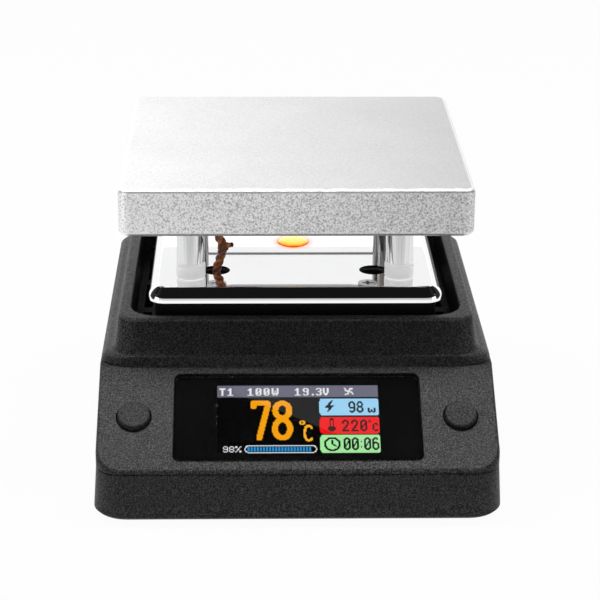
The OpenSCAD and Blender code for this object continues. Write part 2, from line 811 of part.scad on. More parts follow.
module control_board() {
    color("#174a2f") difference() {
        on_panel() translate([0, 0, -board_n - control_t]) linear_extrude(control_t)
            outline(control_w, control_s[0], control_s[1], 0.6);
        at_control_screws() translate([0, 0, -board_n - control_t - 1])
            cylinder(h = control_t + 2, r = control_screw_r + 0.1);
    }
}

module control_screws() {
    color("#8e9095") at_control_screws() translate([0, 0, -board_n - control_t])
        screw(control_screw_r, 1.2, 0.8, 0, control_t + 1.8);
}

// Cap with a rounded face and a flange that keeps it in the panel
module button(x) {
    r = button_d / 2;
    e = 0.35;
    color("#2c2d30") on_panel() translate([x * button_x, button_s, 0]) rotate_extrude() {
        translate([0, -cap_seat]) square([r, cap_seat + button_proud - e]);
        square([r - e, button_proud]);
        translate([r - e, button_proud - e]) circle(e);
        translate([0, -stem_top]) square([cap_flange_r, cap_flange_t]);
    }
}

module switch_body(x) {
    color("#b7b9bc") on_panel() translate([x * button_x, button_s, -board_n]) difference() {
        translate([-switch_w / 2, -switch_w / 2, 0]) cube([switch_w, switch_w, board_n - switch_top]);
        translate([0, 0, board_n - stem_top - stem_len - button_travel - 0.1])
            cylinder(h = 4, r = stem_r + run_gap);
    }
}

module switch_stem(x) {
    color("#1a1a1c") on_panel() translate([x * button_x, button_s, -stem_top - stem_len])
        cylinder(h = stem_len, r = stem_r);
}

module main_board() {
    color("#174a2f") difference() {
        block(main_w, main_front, main_back, 1, main_z, main_top);
        at_main_screws() rod(main_screw_r + 0.1, main_z - 1, main_top + 1);
    }
}

module board_screws() {
    color("#8e9095") at_main_screws() translate([0, 0, main_top]) rotate([180, 0, 0])
        screw(main_screw_r, main_head_r, main_head_t, 0, board_t + main_grip);
}

module usb_socket() {
    t = 0.3;
    mouth_y = back_y - port_inset;
    color("#c3c4c7") translate([usb_x, mouth_y, main_top + usb_size[2] / 2]) rotate([90, 0, 0]) {
        linear_extrude(usb_size[1]) difference() {
            stadium(usb_size[0], usb_size[2]);
            stadium(usb_size[0] - 2 * t, usb_size[2] - 2 * t);
        }
        translate([0, 0, usb_size[1] - 1]) linear_extrude(1)
            stadium(usb_size[0] - t, usb_size[2] - t);
        translate([-3.35, -0.35, 0.8]) cube([6.7, 0.7, usb_size[1] - 1]);
    }
}

module power_jack() {
    mouth_y = back_y - port_inset;
    color("#1c1c1e") translate([jack_x, mouth_y, jack_z]) rotate([90, 0, 0]) difference() {
        union() {
            cylinder(h = jack_neck, r = jack_mouth_r);
            translate([-jack_size[0] / 2, -jack_size[2] / 2, jack_neck - 0.2])
                cube([jack_size[0], jack_size[2], jack_size[1] - 0.8]);
        }
        difference() {
            translate([0, 0, -1]) cylinder(h = 10, r = jack_bore_r);
            cylinder(h = 10, r = 1.2);
        }
    }
}

// Plug of the heater's lead, standing on the main board
module lead_plug() {
    end = lead_route[len(lead_route) - 1];
    color("#efefe8") translate([end[0] - plug_size[0] / 2, end[1] - plug_size[1] / 2, main_top])
        cube([plug_size[0], plug_size[1], end[2] - plug_gap - main_top]);
}

// Flat cable from the control board over the fan to the main board
module ribbon_cable() {
    drop = board_n + control_t;
    s = 12.6;
    t = 0.3;
    joint = 0.6;
    ribbon_w = 8;
    ribbon_left = -2;
    over_fan = 1.6;
    y0 = front_y + s * cos(panel_angle) + drop * sin(panel_angle);
    z0 = panel_z + s * sin(panel_angle) - drop * cos(panel_angle);
    y1 = main_front + main_screw_in - t;
    high = fan_top + over_fan;
    rise = (high - z0) / tan(panel_angle - 4);
    color("#d8d8d2") rotate([90, 0, 90]) translate([0, 0, ribbon_left]) linear_extrude(ribbon_w)
        polygon([[y0, z0], [y0, z0 - t], [y0 + 1.2, z0 - t], [y0 + 1.2 + rise, high - t], [y1 - t, high - t],
                 [y1 - t, main_top], [y1, main_top], [y1, high], [y0 + 1.1 + rise, high], [y0 + 1.1, z0],
                 [y0 + joint * cos(panel_angle), z0 + joint * sin(panel_angle)]]);
}

module fan_frame() {
    hub_t = 1;
    strut_w = 1.3;
    color("#1b1b1d") translate([0, fan_y, 0]) difference() {
        union() {
            difference() {
                translate([0, 0, fan_z]) linear_extrude(fan_t) outline(fan_w, -fan_w / 2, fan_w / 2, 1.5);
                rod(fan_duct_r, fan_z - 1, fan_top + 1);
            }
            rod(fan_hub_r - 0.8, fan_z, fan_z + hub_t);
            rod(1.8, fan_z, fan_z + fan_t - 2.2);
            for (a = [15 : 90 : 285])
                rotate(a) translate([fan_hub_r - 1.5, -strut_w / 2, fan_z])
                    cube([fan_duct_r - fan_hub_r + 1.8, strut_w, hub_t]);
        }
        rod(fan_shaft_d / 2 + run_gap, fan_z - 1, fan_top + 1);
        for (x = [-1, 1], y = [-1, 1])
            translate([x * fan_hole_pitch / 2, y * fan_hole_pitch / 2, 0])
                rod(fan_screw_r + 0.15, fan_z - 1, fan_top + 1);
    }
}

module fan_rotor() {
    low = fan_z + 1.5;
    top = fan_top - 0.4;
    color("#232326") translate([0, fan_y, 0]) {
        difference() {
            rod(fan_hub_r, low, top);
            rod(fan_hub_r - 1, low - 1, top - 1);
        }
        rod(fan_shaft_d / 2, fan_z + 0.2, top - 0.5);
        translate([0, 0, low]) linear_extrude(top - low - 0.1, twist = -34, slices = 5, segments = 4)
            for (i = [0 : fan_blades - 1])
                rotate(i * 360 / fan_blades)
                    translate([fan_hub_r - 0.5, -0.35]) square([fan_tip_r - fan_hub_r + 0.5, 0.7]);
    }
}

module fan_screws() {
    color("#8e9095") at_fan_screws() translate([0, 0, fan_top]) rotate([180, 0, 0])
        screw(fan_screw_r, 1.7, 1, 0, fan_t + 1);
}

module foot(x, y) {
    color("#1a1a1b") translate([x * foot_x, y, 0]) rotate_extrude() {
        square([foot_d / 2 - 0.3, floor_z + foot_recess]);
        translate([0, 0.3]) square([foot_d / 2, floor_z + foot_recess - 0.3]);
    }
}

module shell_screws() {
    color("#6f7175") at_shell_screws()
        screw(shell_screw_d / 2, shell_head_r, shell_head_t, shell_seat_z, shell_screw_top);
}

base_shell();
top_housing();
well_liner();
reflector_tray();
heating_plate();
heater_element();
heater_clamp();
clamp_screws();
temperature_sensor();
heater_lead();
lead_tie();
post(-1, -1);  // post_front_left
post(1, -1);  // post_front_right
post(-1, 1);  // post_rear_left
post(1, 1);  // post_rear_right
insulator(-1, -1);  // insulator_front_left
insulator(1, -1);  // insulator_front_right
insulator(-1, 1);  // insulator_rear_left
insulator(1, 1);  // insulator_rear_right
post_screws();
light_lens();
light_board();
light_screws();
display_window();
display_module();
display_pad();
control_board();
control_screws();
button(-1);  // button_left
button(1);  // button_right
switch_body(-1);  // switch_left
switch_body(1);  // switch_right
switch_stem(-1);  // switch_stem_left
switch_stem(1);  // switch_stem_right
main_board();
board_screws();
usb_socket();
power_jack();
lead_plug();
ribbon_cable();
fan_frame();
fan_rotor();
fan_screws();
foot(-1, foot_front);  // foot_front_left
foot(1, foot_front);  // foot_front_right
foot(-1, foot_rear);  // foot_rear_left
foot(1, foot_rear);  // foot_rear_right
shell_screws();
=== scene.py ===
import json
import math
import bmesh
import bpy
from mathutils import Matrix, Vector


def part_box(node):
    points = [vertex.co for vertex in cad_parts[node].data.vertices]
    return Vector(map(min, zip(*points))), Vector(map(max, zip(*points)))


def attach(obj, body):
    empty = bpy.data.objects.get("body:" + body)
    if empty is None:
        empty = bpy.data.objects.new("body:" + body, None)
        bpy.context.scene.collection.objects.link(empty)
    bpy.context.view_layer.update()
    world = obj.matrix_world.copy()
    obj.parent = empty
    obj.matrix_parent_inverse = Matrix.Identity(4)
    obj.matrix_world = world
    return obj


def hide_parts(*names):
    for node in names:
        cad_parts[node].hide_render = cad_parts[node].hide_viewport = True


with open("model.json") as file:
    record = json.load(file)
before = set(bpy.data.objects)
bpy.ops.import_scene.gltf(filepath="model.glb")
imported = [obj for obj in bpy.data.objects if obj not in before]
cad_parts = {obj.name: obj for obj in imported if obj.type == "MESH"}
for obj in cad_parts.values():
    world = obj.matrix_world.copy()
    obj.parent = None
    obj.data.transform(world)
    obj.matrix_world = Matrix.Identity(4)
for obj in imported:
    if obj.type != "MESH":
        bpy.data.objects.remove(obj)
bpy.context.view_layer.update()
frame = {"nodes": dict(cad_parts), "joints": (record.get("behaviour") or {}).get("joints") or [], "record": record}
mm = 0.001
print("frame loaded:", len(frame["nodes"]), "nodes")

bodyOf = {node: body for body, members in frame["record"]["behaviour"]["bodies"].items() for node in members}
slotOf = {part["node"]: part["material_slot"] for part in frame["record"]["subparts"]}


# Camera, at the photo's place

camera = {
    "place": (-6.6 * mm, -290.1 * mm, 129.2 * mm),
    "yaw": 1.49,           # degrees towards +X
    "pitch": 20.749,       # degrees down
    "roll": 0.4,
    "lens": 123.67,
}


def addCamera():
    data = bpy.data.cameras.new("camera")
    data.lens = camera["lens"]
    data.sensor_width = 36
    data.clip_start = 0.01
    data.clip_end = 20
    cam = bpy.data.objects.new("camera", data)
    bpy.context.scene.collection.objects.link(cam)
    turn = (Matrix.Rotation(-math.radians(camera["yaw"]), 4, "Z")
            @ Matrix.Rotation(math.radians(90 - camera["pitch"]), 4, "X")
            @ Matrix.Rotation(math.radians(camera["roll"]), 4, "Z"))
    cam.matrix_world = Matrix.Translation(camera["place"]) @ turn
    bpy.context.scene.camera = cam


addCamera()
print("camera set")


# Node helpers

def addNode(tree, kind, links=None, **settings):
    node = tree.nodes.new(kind)
    for key, value in settings.items():
        setattr(node, key, value)
    for key, value in (links or {}).items():
        if isinstance(value, bpy.types.NodeSocket):
            tree.links.new(value, node.inputs[key])
        else:
            node.inputs[key].default_value = value
    return node


def newMaterial(name, **fixed):
    mat = bpy.data.materials.new(name)
    mat.use_nodes = True
    shader = mat.node_tree.nodes["Principled BSDF"]
    for key, value in fixed.items():
        shader.inputs[key.replace("_", " ")].default_value = value
    return mat, mat.node_tree, shader


def millimetres(tree, stretch=(1, 1, 1), shift=(0, 0, 0)):
    place = addNode(tree, "ShaderNodeTexCoord").outputs["Object"]
    scale = [1000 * s for s in stretch]
    return addNode(tree, "ShaderNodeMapping", {"Vector": place, "Scale": scale, "Location": shift}).outputs[0]


def grain(tree, place, size, detail=2.0, roughness=0.5):
    # size is the width of a grain in mm
    links = {"Vector": place, "Scale": 1 / size, "Detail": detail, "Roughness": roughness}
    return addNode(tree, "ShaderNodeTexNoise", links).outputs["Fac"]


def remap(tree, value, low, high, toLow, toHigh, smooth=False):
    kind = "SMOOTHSTEP" if smooth else "LINEAR"
    links = {"Value": value, "From Min": low, "From Max": high, "To Min": toLow, "To Max": toHigh}
    return addNode(tree, "ShaderNodeMapRange", links, interpolation_type=kind, clamp=True).outputs["Result"]


def maths(tree, kind, *values):
    node = tree.nodes.new("ShaderNodeMath")
    node.operation = kind
    for i, value in enumerate(values):
        if isinstance(value, bpy.types.NodeSocket):
            tree.links.new(value, node.inputs[i])
        else:
            node.inputs[i].default_value = value
    return node.outputs[0]


def offMiddle(tree, value):
    # How far the fraction of value is from one half
    return maths(tree, "ABSOLUTE", maths(tree, "SUBTRACT", maths(tree, "FRACT", value), 0.5))


def vectorMaths(tree, kind, links):
    node = addNode(tree, "ShaderNodeVectorMath", links, operation=kind)
    return node.outputs["Value" if kind == "LENGTH" else "Vector"]


def axes(tree, vector):
    return addNode(tree, "ShaderNodeSeparateXYZ", {"Vector": vector}).outputs


def ramp(tree, value, stops):
    node = addNode(tree, "ShaderNodeValToRGB", {"Fac": value})
    points = node.color_ramp.elements
    while len(points) < len(stops):
        points.new(0.5)
    for point, (at, colour) in zip(points, stops):
        point.position = at
        point.color = (*colour, 1)
    return node.outputs["Color"]


def blend(tree, share, first, second):
    # Sockets 6 and 7 of a colour mix are its two colours
    links = {"Factor": share, 6: first, 7: second}
    return addNode(tree, "ShaderNodeMix", links, data_type="RGBA").outputs[2]


def bump(tree, shader, height, depth, strength=1.0):
    # depth in mm
    links = {"Height": height, "Distance": depth * mm, "Strength": strength}
    tree.links.new(addNode(tree, "ShaderNodeBump", links).outputs["Normal"], shader.inputs["Normal"])


def dress(tree, shader, pattern, stops, rough, span=(0.3, 0.7)):
    # Colour and roughness that follow one pattern; rough is given for both ends of span
    tree.links.new(ramp(tree, pattern, stops), shader.inputs["Base Color"])
    tree.links.new(remap(tree, pattern, *span, *rough), shader.inputs["Roughness"])


def middleOf(node):
    low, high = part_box(node)
    return (low + high) / 2


def srgb(red, green, blue):
    # Screen tones from 0 to 255, as linear light
    shares = [tone / 255 for tone in (red, green, blue)]
    return tuple(s / 12.92 if s <= 0.04 else ((s + 0.055) / 1.055) ** 2.4 for s in shares)


# Finishes

housingLook = {
    "dark": (0.012, 0.012, 0.0125),
    "light": (0.138, 0.138, 0.143),
    "grain": 0.21,         # width and depth of the moulded grain, mm
    "depth": 0.03,
    "shine": 0.13,
    "rough": 0.42,
}
buttonLook = {**housingLook, "light": (0.11, 0.11, 0.114), "depth": 0.02, "rough": 0.5}


def grainedPlastic(name, look):
    # Spark-eroded moulding: dark body, fine raised grain with paler tips
    mat, tree, shader = newMaterial(name, Specular_IOR_Level=look["shine"])
    place = millimetres(tree)
    fine = grain(tree, place, look["grain"], 3, 0.7)
    broad = grain(tree, place, 9, 2)
    tips = remap(tree, fine, 0.43, 0.68, 0, 1)
    tint = maths(tree, "MULTIPLY_ADD", broad, 0.15, maths(tree, "MULTIPLY", tips, 0.85))
    colour = ramp(tree, tint, [(0.08, look["dark"]), (0.8, look["light"])])
    tree.links.new(colour, shader.inputs["Base Color"])
    rough = look["rough"]
    tree.links.new(remap(tree, fine, 0.3, 0.7, rough + 0.12, rough - 0.1), shader.inputs["Roughness"])
    bump(tree, shader, fine, look["depth"], 0.7)
    return mat


def linerPlastic():
    mat, tree, shader = newMaterial("linerPlastic", Specular_IOR_Level=0.3)
    fine = grain(tree, millimetres(tree), 0.35, 3, 0.6)
    dress(tree, shader, fine, [(0.3, (0.004, 0.004, 0.004)), (0.8, (0.014, 0.014, 0.015))], (0.6, 0.75))
    bump(tree, shader, fine, 0.02, 0.5)
    return mat


trayLook = {
    "edge": 0.95,          # depth at which the rolled rim ends and the turned-down edge starts, mm
    "lean": 0.2,           # how far the normal of that edge is tipped upward
    "fold": 0.7,           # most that the rolled rim's normal points upward, to one sideways
    # halo: painted glow of the lens on the sheet: its colour, the light it gives off, and its reach in mm
    "halo": (1.0, 0.42, 0.34),
    "haloLevel": 0.2,
    "haloReach": (2.3, 4.2),
}


def mirrorSheet():
    # Polished sheet with faint cloudiness. Its rim starts with a crisp fold, its turned-down edge
    # leans a little, and a painted pink glow round the lens stands in for the lens's light on it
    mat, tree, shader = newMaterial("mirrorSheet", Metallic=1.0, Emission_Color=(*trayLook["halo"], 1))
    place = millimetres(tree)
    cloud = grain(tree, place, 7, 2)
    hair = grain(tree, millimetres(tree, (0.06, 5, 1)), 1, 2)
    tone = ramp(tree, cloud, [(0.3, (0.95, 0.955, 0.96)), (0.7, (0.985, 0.985, 0.99))])
    both = maths(tree, "MULTIPLY_ADD", hair, 0.5, maths(tree, "MULTIPLY", cloud, 0.5))
    tree.links.new(remap(tree, both, 0.35, 0.7, 0.015, 0.04), shader.inputs["Roughness"])
    apart = axes(tree, place)
    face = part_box("reflector_tray")[1].z / mm
    edge = face - trayLook["edge"]
    lean = remap(tree, apart["Z"], edge - 0.1, edge + 0.1, trayLook["lean"], 0, True)
    facing = axes(tree, addNode(tree, "ShaderNodeNewGeometry").outputs["Normal"])
    sideways = maths(tree, "SQRT", maths(tree, "MULTIPLY_ADD", maths(tree, "MULTIPLY", facing["Z"], -1.0),
                                         facing["Z"], 1.0))
    folded = maths(tree, "MINIMUM", facing["Z"], maths(tree, "MULTIPLY", sideways, trayLook["fold"]))
    onRim = remap(tree, apart["Z"], face - 0.03, face - 0.01, 1, 0)
    upward = maths(tree, "MULTIPLY_ADD", maths(tree, "SUBTRACT", folded, facing["Z"]), onRim, facing["Z"])
    leaning = addNode(tree, "ShaderNodeCombineXYZ", {"X": facing["X"], "Y": facing["Y"],
                                                     "Z": maths(tree, "ADD", upward, lean)}).outputs[0]
    tree.links.new(vectorMaths(tree, "NORMALIZE", {0: leaning}), shader.inputs["Normal"])
    middle = middleOf("light_lens") / mm
    off = vectorMaths(tree, "SUBTRACT", {0: place, 1: (middle.x, middle.y, edge)})
    # Painted light: pink tint and glow round the lens
    halo = remap(tree, vectorMaths(tree, "LENGTH", {0: off}), *trayLook["haloReach"], 1, 0, True)
    tree.links.new(blend(tree, halo, tone, (*trayLook["halo"], 1)), shader.inputs["Base Color"])
    tree.links.new(maths(tree, "MULTIPLY", halo, trayLook["haloLevel"]), shader.inputs["Emission Strength"])
    return mat


plateLook = {
    "dark": (0.25, 0.25, 0.26),
    "light": (1.0, 1.0, 1.0),
    "grain": 0.24,
    "rough": 0.42,
    "left": 1.2,           # painted light: tone at the plate's left end, and at its right end
    "right": 0.8,
    "paintedEdgeHighlight": 0.1,       # painted highlight: how much paler the rounded edges are
    # painted shade: tone of the plate's top face
    "top": 0.9,
    "lapped": 0.93,        # tone and roughness of the underside
    "under": 0.1,
    # painted shade: a dark line on the underside near its rear edge
    "shadeLine": {"in": 4.1, "wide": 1.2, "half": 14.6, "soft": 0.04, "fade": 0.3, "tone": 0.03},
}


def underside(tree, apart):
    # Lapped, with a painted dark line of shade near its rear edge, which the tray mirrors
    shadeLine = plateLook["shadeLine"]
    wide, half = shadeLine["wide"] / 2, shadeLine["half"]
    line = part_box("heating_plate")[1].y / mm - shadeLine["in"]
    offLine = maths(tree, "ABSOLUTE", maths(tree, "SUBTRACT", apart["Y"], line))
    across = remap(tree, offLine, wide - shadeLine["soft"], wide + shadeLine["soft"], 1, 0)
    along = remap(tree, maths(tree, "ABSOLUTE", apart["X"]), half - shadeLine["fade"], half, 1, 0)
    level = remap(tree, maths(tree, "MULTIPLY", across, along), 0, 1, plateLook["lapped"], shadeLine["tone"])
    return addNode(tree, "ShaderNodeCombineXYZ", {"X": level, "Y": level, "Z": level}).outputs[0]


def blastedAluminium():
    # Bead-blasted faces, speckled most where they are seen square on, and a lapped underside
    mat, tree, shader = newMaterial("blastedAluminium", Metallic=1.0)
    place = millimetres(tree)
    fine = grain(tree, place, plateLook["grain"], 3, 0.7)
    broad = grain(tree, place, 14, 2)
    normal = axes(tree, addNode(tree, "ShaderNodeTexCoord").outputs["Normal"])["Z"]
    flatness = maths(tree, "ABSOLUTE", normal)
    contrast = remap(tree, flatness, 0.2, 0.95, 1.0, 0.22)
    mixed = maths(tree, "MULTIPLY_ADD", maths(tree, "SUBTRACT", fine, 0.5), contrast, 0.52)
    mixed = maths(tree, "MULTIPLY_ADD", maths(tree, "SUBTRACT", broad, 0.5), 0.04, mixed)
    # Painted highlight: the rounded edges between the faces are paler
    rounded = maths(tree, "MULTIPLY", remap(tree, flatness, 0.1, 0.4, 0, 1),
                    remap(tree, flatness, 0.9, 0.98, 1, 0))
    mixed = maths(tree, "MULTIPLY_ADD", rounded, plateLook["paintedEdgeHighlight"], mixed)
    tone = ramp(tree, mixed, [(0.33, plateLook["dark"]), (0.6, plateLook["light"])])
    apart = axes(tree, place)
    low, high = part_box("heating_plate")
    # Painted light: the tone falls from the left end to the right, and the top face is darker
    across = remap(tree, apart["X"], low.x / mm, high.x / mm, plateLook["left"], plateLook["right"])
    paintedLightFall = maths(tree, "MULTIPLY", across, remap(tree, normal, 0.9, 1, 1, plateLook["top"]))
    shaded = vectorMaths(tree, "SCALE", {0: tone, "Scale": paintedLightFall})
    lapped = remap(tree, normal, -0.995, -0.97, 1, 0)
    tree.links.new(blend(tree, lapped, shaded, underside(tree, apart)), shader.inputs["Base Color"])
    speck = remap(tree, fine, 0.3, 0.7, -0.05, 0.05)
    blasted = maths(tree, "ADD", speck, plateLook["rough"])
    away = maths(tree, "SUBTRACT", plateLook["under"], blasted)
    tree.links.new(maths(tree, "MULTIPLY_ADD", away, lapped, blasted), shader.inputs["Roughness"])
    dents = maths(tree, "MULTIPLY", fine, maths(tree, "SUBTRACT", 1.0, lapped))
    bump(tree, shader, dents, 0.03, 0.5)
    return mat


def drawnAluminium(name, dark, light):
    # Polished round bar with faint marks along its length
    mat, tree, shader = newMaterial(name, Metallic=1.0)
    marks = grain(tree, millimetres(tree, (7, 7, 0.12)), 1, 3)
    dress(tree, shader, marks, [(0.3, dark), (0.7, light)], (0.06, 0.1))
    bump(tree, shader, marks, 0.0015, 0.4)
    return mat


def ceramic(name, dark, light, rough, glow=0.0):
    # glow is painted light: an even light that the body gives off, in place of light that has gone through the
    # white body
    mat, tree, shader = newMaterial(name, Coat_Weight=0.35, Coat_Roughness=0.25, Emission_Strength=glow)
    fine = grain(tree, millimetres(tree), 0.5, 3)
    dress(tree, shader, fine, [(0.3, dark), (0.7, light)], (rough - 0.05, rough + 0.08))
    bump(tree, shader, fine, 0.008, 0.4)
    return mat


def steel(name, dark, light, rough, streak=(1, 1, 0.05)):
    mat, tree, shader = newMaterial(name, Metallic=1.0)
    lines = grain(tree, millimetres(tree, streak), 0.25, 3)
    dress(tree, shader, lines, [(0.3, dark), (0.7, light)], (rough - 0.06, rough + 0.08))
    bump(tree, shader, lines, 0.004, 0.4)
    return mat


def circuitBoard():
    # Solder mask with copper tracks showing through as paler bands
    mat, tree, shader = newMaterial("circuitBoard", Roughness=0.35, Coat_Weight=0.5, Coat_Roughness=0.15)
    cells = addNode(tree, "ShaderNodeTexVoronoi", {"Vector": millimetres(tree), "Scale": 0.35},
                    distance="MANHATTAN", feature="F1").outputs["Distance"]
    copper = remap(tree, offMiddle(tree, maths(tree, "MULTIPLY", cells, 3.2)), 0.2, 0.24, 0, 1)
    tree.links.new(ramp(tree, copper, [(0.3, (0.004, 0.05, 0.028)), (0.7, (0.012, 0.11, 0.06))]),
                   shader.inputs["Base Color"])
    bump(tree, shader, copper, 0.03, 0.6)
    return mat


def moulded(name, dark, light, rough, size=0.4, depth=0.01, shine=0.5):
    mat, tree, shader = newMaterial(name, Specular_IOR_Level=shine)
    fine = grain(tree, millimetres(tree), size, 3)
    dress(tree, shader, fine, [(0.3, dark), (0.7, light)], (rough - 0.06, rough + 0.06))
    bump(tree, shader, fine, depth, 0.5)
    return mat


def flatCable():
    # Clear film over parallel tinned strips, one to a millimetre
    mat, tree, shader = newMaterial("flatCable", Roughness=0.3, Coat_Weight=0.6, Coat_Roughness=0.12)
    line = remap(tree, offMiddle(tree, axes(tree, millimetres(tree))["X"]), 0.24, 0.28, 0, 1)
    tree.links.new(ramp(tree, line, [(0.2, (0.5, 0.5, 0.5)), (0.8, (0.8, 0.8, 0.76))]),
                   shader.inputs["Base Color"])
    bump(tree, shader, line, 0.04, 0.5)
    return mat


lensLook = {
    "glow": 1.05,
    "radius": 2.45,
    "stops": [(0.0, (255, 240, 165)), (0.6, (255, 230, 128)), (0.82, (255, 210, 92)),
              (0.91, (252, 165, 52)), (0.96, (232, 92, 30)), (1.0, (130, 28, 16))],
}


def litLens():
    # Glows from its middle outwards, yellow to deep red
    mat, tree, shader = newMaterial("litLens", Roughness=0.18, Coat_Weight=0.4, Coat_Roughness=0.08,
                                    Emission_Strength=lensLook["glow"])
    middle = middleOf("light_lens")
    place = millimetres(tree, shift=(-middle.x / mm, -middle.y / mm, 0))
    flat = vectorMaths(tree, "MULTIPLY", {0: place, 1: (1, 1, 0)})
    cloud = grain(tree, place, 1.2, 2)
    share = maths(tree, "DIVIDE", vectorMaths(tree, "LENGTH", {0: flat}), lensLook["radius"])
    spread = maths(tree, "ADD", share, maths(tree, "MULTIPLY", maths(tree, "SUBTRACT", cloud, 0.5), 0.12))
    colour = ramp(tree, spread, [(at, srgb(*tone)) for at, tone in lensLook["stops"]])
    tree.links.new(colour, shader.inputs["Base Color"])
    tree.links.new(colour, shader.inputs["Emission Color"])
    return mat


def clearWindow():
    mat, tree, shader = newMaterial("clearWindow", Base_Color=(0.98, 0.98, 0.985, 1), IOR=1.49,
                                    Transmission_Weight=1.0)
    smear = grain(tree, millimetres(tree, (1, 1.6, 1)), 3.5, 3)
    tree.links.new(remap(tree, smear, 0.35, 0.75, 0.012, 0.035), shader.inputs["Roughness"])
    return mat


finishes = {
    "housing_plastic": grainedPlastic("housingPlastic", housingLook),
    "button_plastic": grainedPlastic("buttonPlastic", buttonLook),
    "liner_plastic": linerPlastic(),
    "tray_mirror": mirrorSheet(),
    "plate_aluminium": blastedAluminium(),
    "post_aluminium": drawnAluminium("drawnAluminium", (0.66, 0.665, 0.67), (0.82, 0.82, 0.825)),
    "heater_ceramic": ceramic("heaterCeramic", (0.2, 0.19, 0.18), (0.34, 0.33, 0.31), 0.5),
    # the rings' glow is painted light, which keeps them pale in the plate's shade
    "insulator_ceramic": ceramic("insulatorCeramic", (0.9, 0.9, 0.885), (0.97, 0.97, 0.96), 0.4, 0.43),
    "clamp_steel": steel("clampSteel", (0.3, 0.3, 0.31), (0.46, 0.46, 0.47), 0.3, (0.05, 1, 1)),
    "screw_steel": steel("screwSteel", (0.42, 0.42, 0.44), (0.6, 0.6, 0.62), 0.3),
    "switch_steel": steel("switchSteel", (0.5, 0.5, 0.5), (0.68, 0.68, 0.68), 0.3, (0.05, 1, 1)),
    "socket_steel": steel("socketSteel", (0.62, 0.62, 0.64), (0.78, 0.78, 0.8), 0.24, (1, 0.05, 1)),
    "screw_black": steel("blackScrew", (0.03, 0.03, 0.032), (0.08, 0.08, 0.085), 0.4),
    "lead_braid": moulded("leadBraid", (0.16, 0.05, 0.02), (0.42, 0.16, 0.06), 0.5, 0.25, 0.03),
    "tie_thread": moulded("tieThread", (0.06, 0.02, 0.01), (0.5, 0.24, 0.1), 0.6, 0.2, 0.03),
    "lens_glow": litLens(),
    "circuit_board": circuitBoard(),
    "window_glass": clearWindow(),
    "display_panel": moulded("displayPanel", (0.006, 0.007, 0.01), (0.012, 0.013, 0.018), 0.25, shine=0.1),
    "foam_pad": moulded("foamPad", (0.03, 0.03, 0.035), (0.09, 0.09, 0.1), 0.9, 0.5, 0.15),
    "black_plastic": moulded("blackPlastic", (0.012, 0.012, 0.012), (0.026, 0.026, 0.027), 0.4),
    "plug_plastic": moulded("plugPlastic", (0.78, 0.77, 0.72), (0.87, 0.86, 0.82), 0.4),
    "ribbon": flatCable(),
    "foot_rubber": moulded("footRubber", (0.012, 0.012, 0.012), (0.032, 0.032, 0.032), 0.75, 0.35, 0.02),
}

for nodeName, cadNode in frame["nodes"].items():
    cadNode.material_slots[0].material = finishes[slotOf[nodeName]]
print("finishes made:", len(finishes))


# Mesh helpers

def addPiece(name, verts, faces, node, finish=None, smooth=True):
    mesh = bpy.data.meshes.new(name)
    mesh.from_pydata([tuple(v) for v in verts], [], faces)
    mesh.validate()
    mesh.materials.append(finish or finishes[slotOf[node]])
    if smooth:
        mesh.shade_smooth()
    piece = bpy.data.objects.new(name, mesh)
    bpy.context.scene.collection.objects.link(piece)
    return piece


def settle(piece, node, replaced=True):
    if replaced:
        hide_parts(node)
    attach(piece, bodyOf[node])


def weld(piece, distance):
    shell = bmesh.new()
    shell.from_mesh(piece.data)
    bmesh.ops.remove_doubles(shell, verts=shell.verts, dist=distance)
    bmesh.ops.recalc_face_normals(shell, faces=shell.faces)
    shell.to_mesh(piece.data)
    shell.free()


def arc(cx, cy, rx, ry, start, stop, steps=12):
    # Points of an arc, angles in degrees
    turns = [math.radians(start + (stop - start) * i / steps) for i in range(steps + 1)]
    return [(cx + rx * math.cos(a), cy + ry * math.sin(a)) for a in turns]


def lathe(name, profile, node, centre, sides=72, crease=35):
    # profile: (radius, height) pairs in mm, closed round the section
    verts = []
    for k in range(sides):
        a = 2 * math.pi * k / sides
        verts += [(centre[0] + r * mm * math.cos(a), centre[1] + r * mm * math.sin(a), h * mm)
                  for r, h in profile]
    n = len(profile)
    faces = []
    for k in range(sides):
        after = (k + 1) % sides
        for i in range(n):
            j = (i + 1) % n
            faces.append((k * n + i, after * n + i, after * n + j, k * n + j))
    piece = addPiece(name, verts, faces, node)
    weld(piece, 1e-7)
    piece.data.set_sharp_from_angle(angle=math.radians(crease))
    return piece


def sweep(name, path, radius, node, finish, sides=10, offset=None):
    # Tube along path; offset(i, length) moves its middle in the plane across the path
    last = len(path) - 1
    tangents = [(path[min(i + 1, last)] - path[max(i - 1, 0)]).normalized() for i in range(last + 1)]
    side = tangents[0].orthogonal().normalized()
    verts, faces, length = [], [], 0.0
    for i, (point, along) in enumerate(zip(path, tangents)):
        side = (side - along * side.dot(along)).normalized()
        up = along.cross(side)
        if i:
            length += (point - path[i - 1]).length
        across, over = offset(i, length) if offset else (0, 0)
        middle = point + side * across + up * over
        for k in range(sides):
            a = 2 * math.pi * k / sides
            verts.append(middle + (side * math.cos(a) + up * math.sin(a)) * radius)
    for i in range(last):
        for k in range(sides):
            j = (k + 1) % sides
            faces.append((i * sides + k, i * sides + j, (i + 1) * sides + j, (i + 1) * sides + k))
    faces.append(tuple(reversed(range(sides))))
    faces.append(tuple(range(last * sides, (last + 1) * sides)))
    return addPiece(name, verts, faces, node, finish)


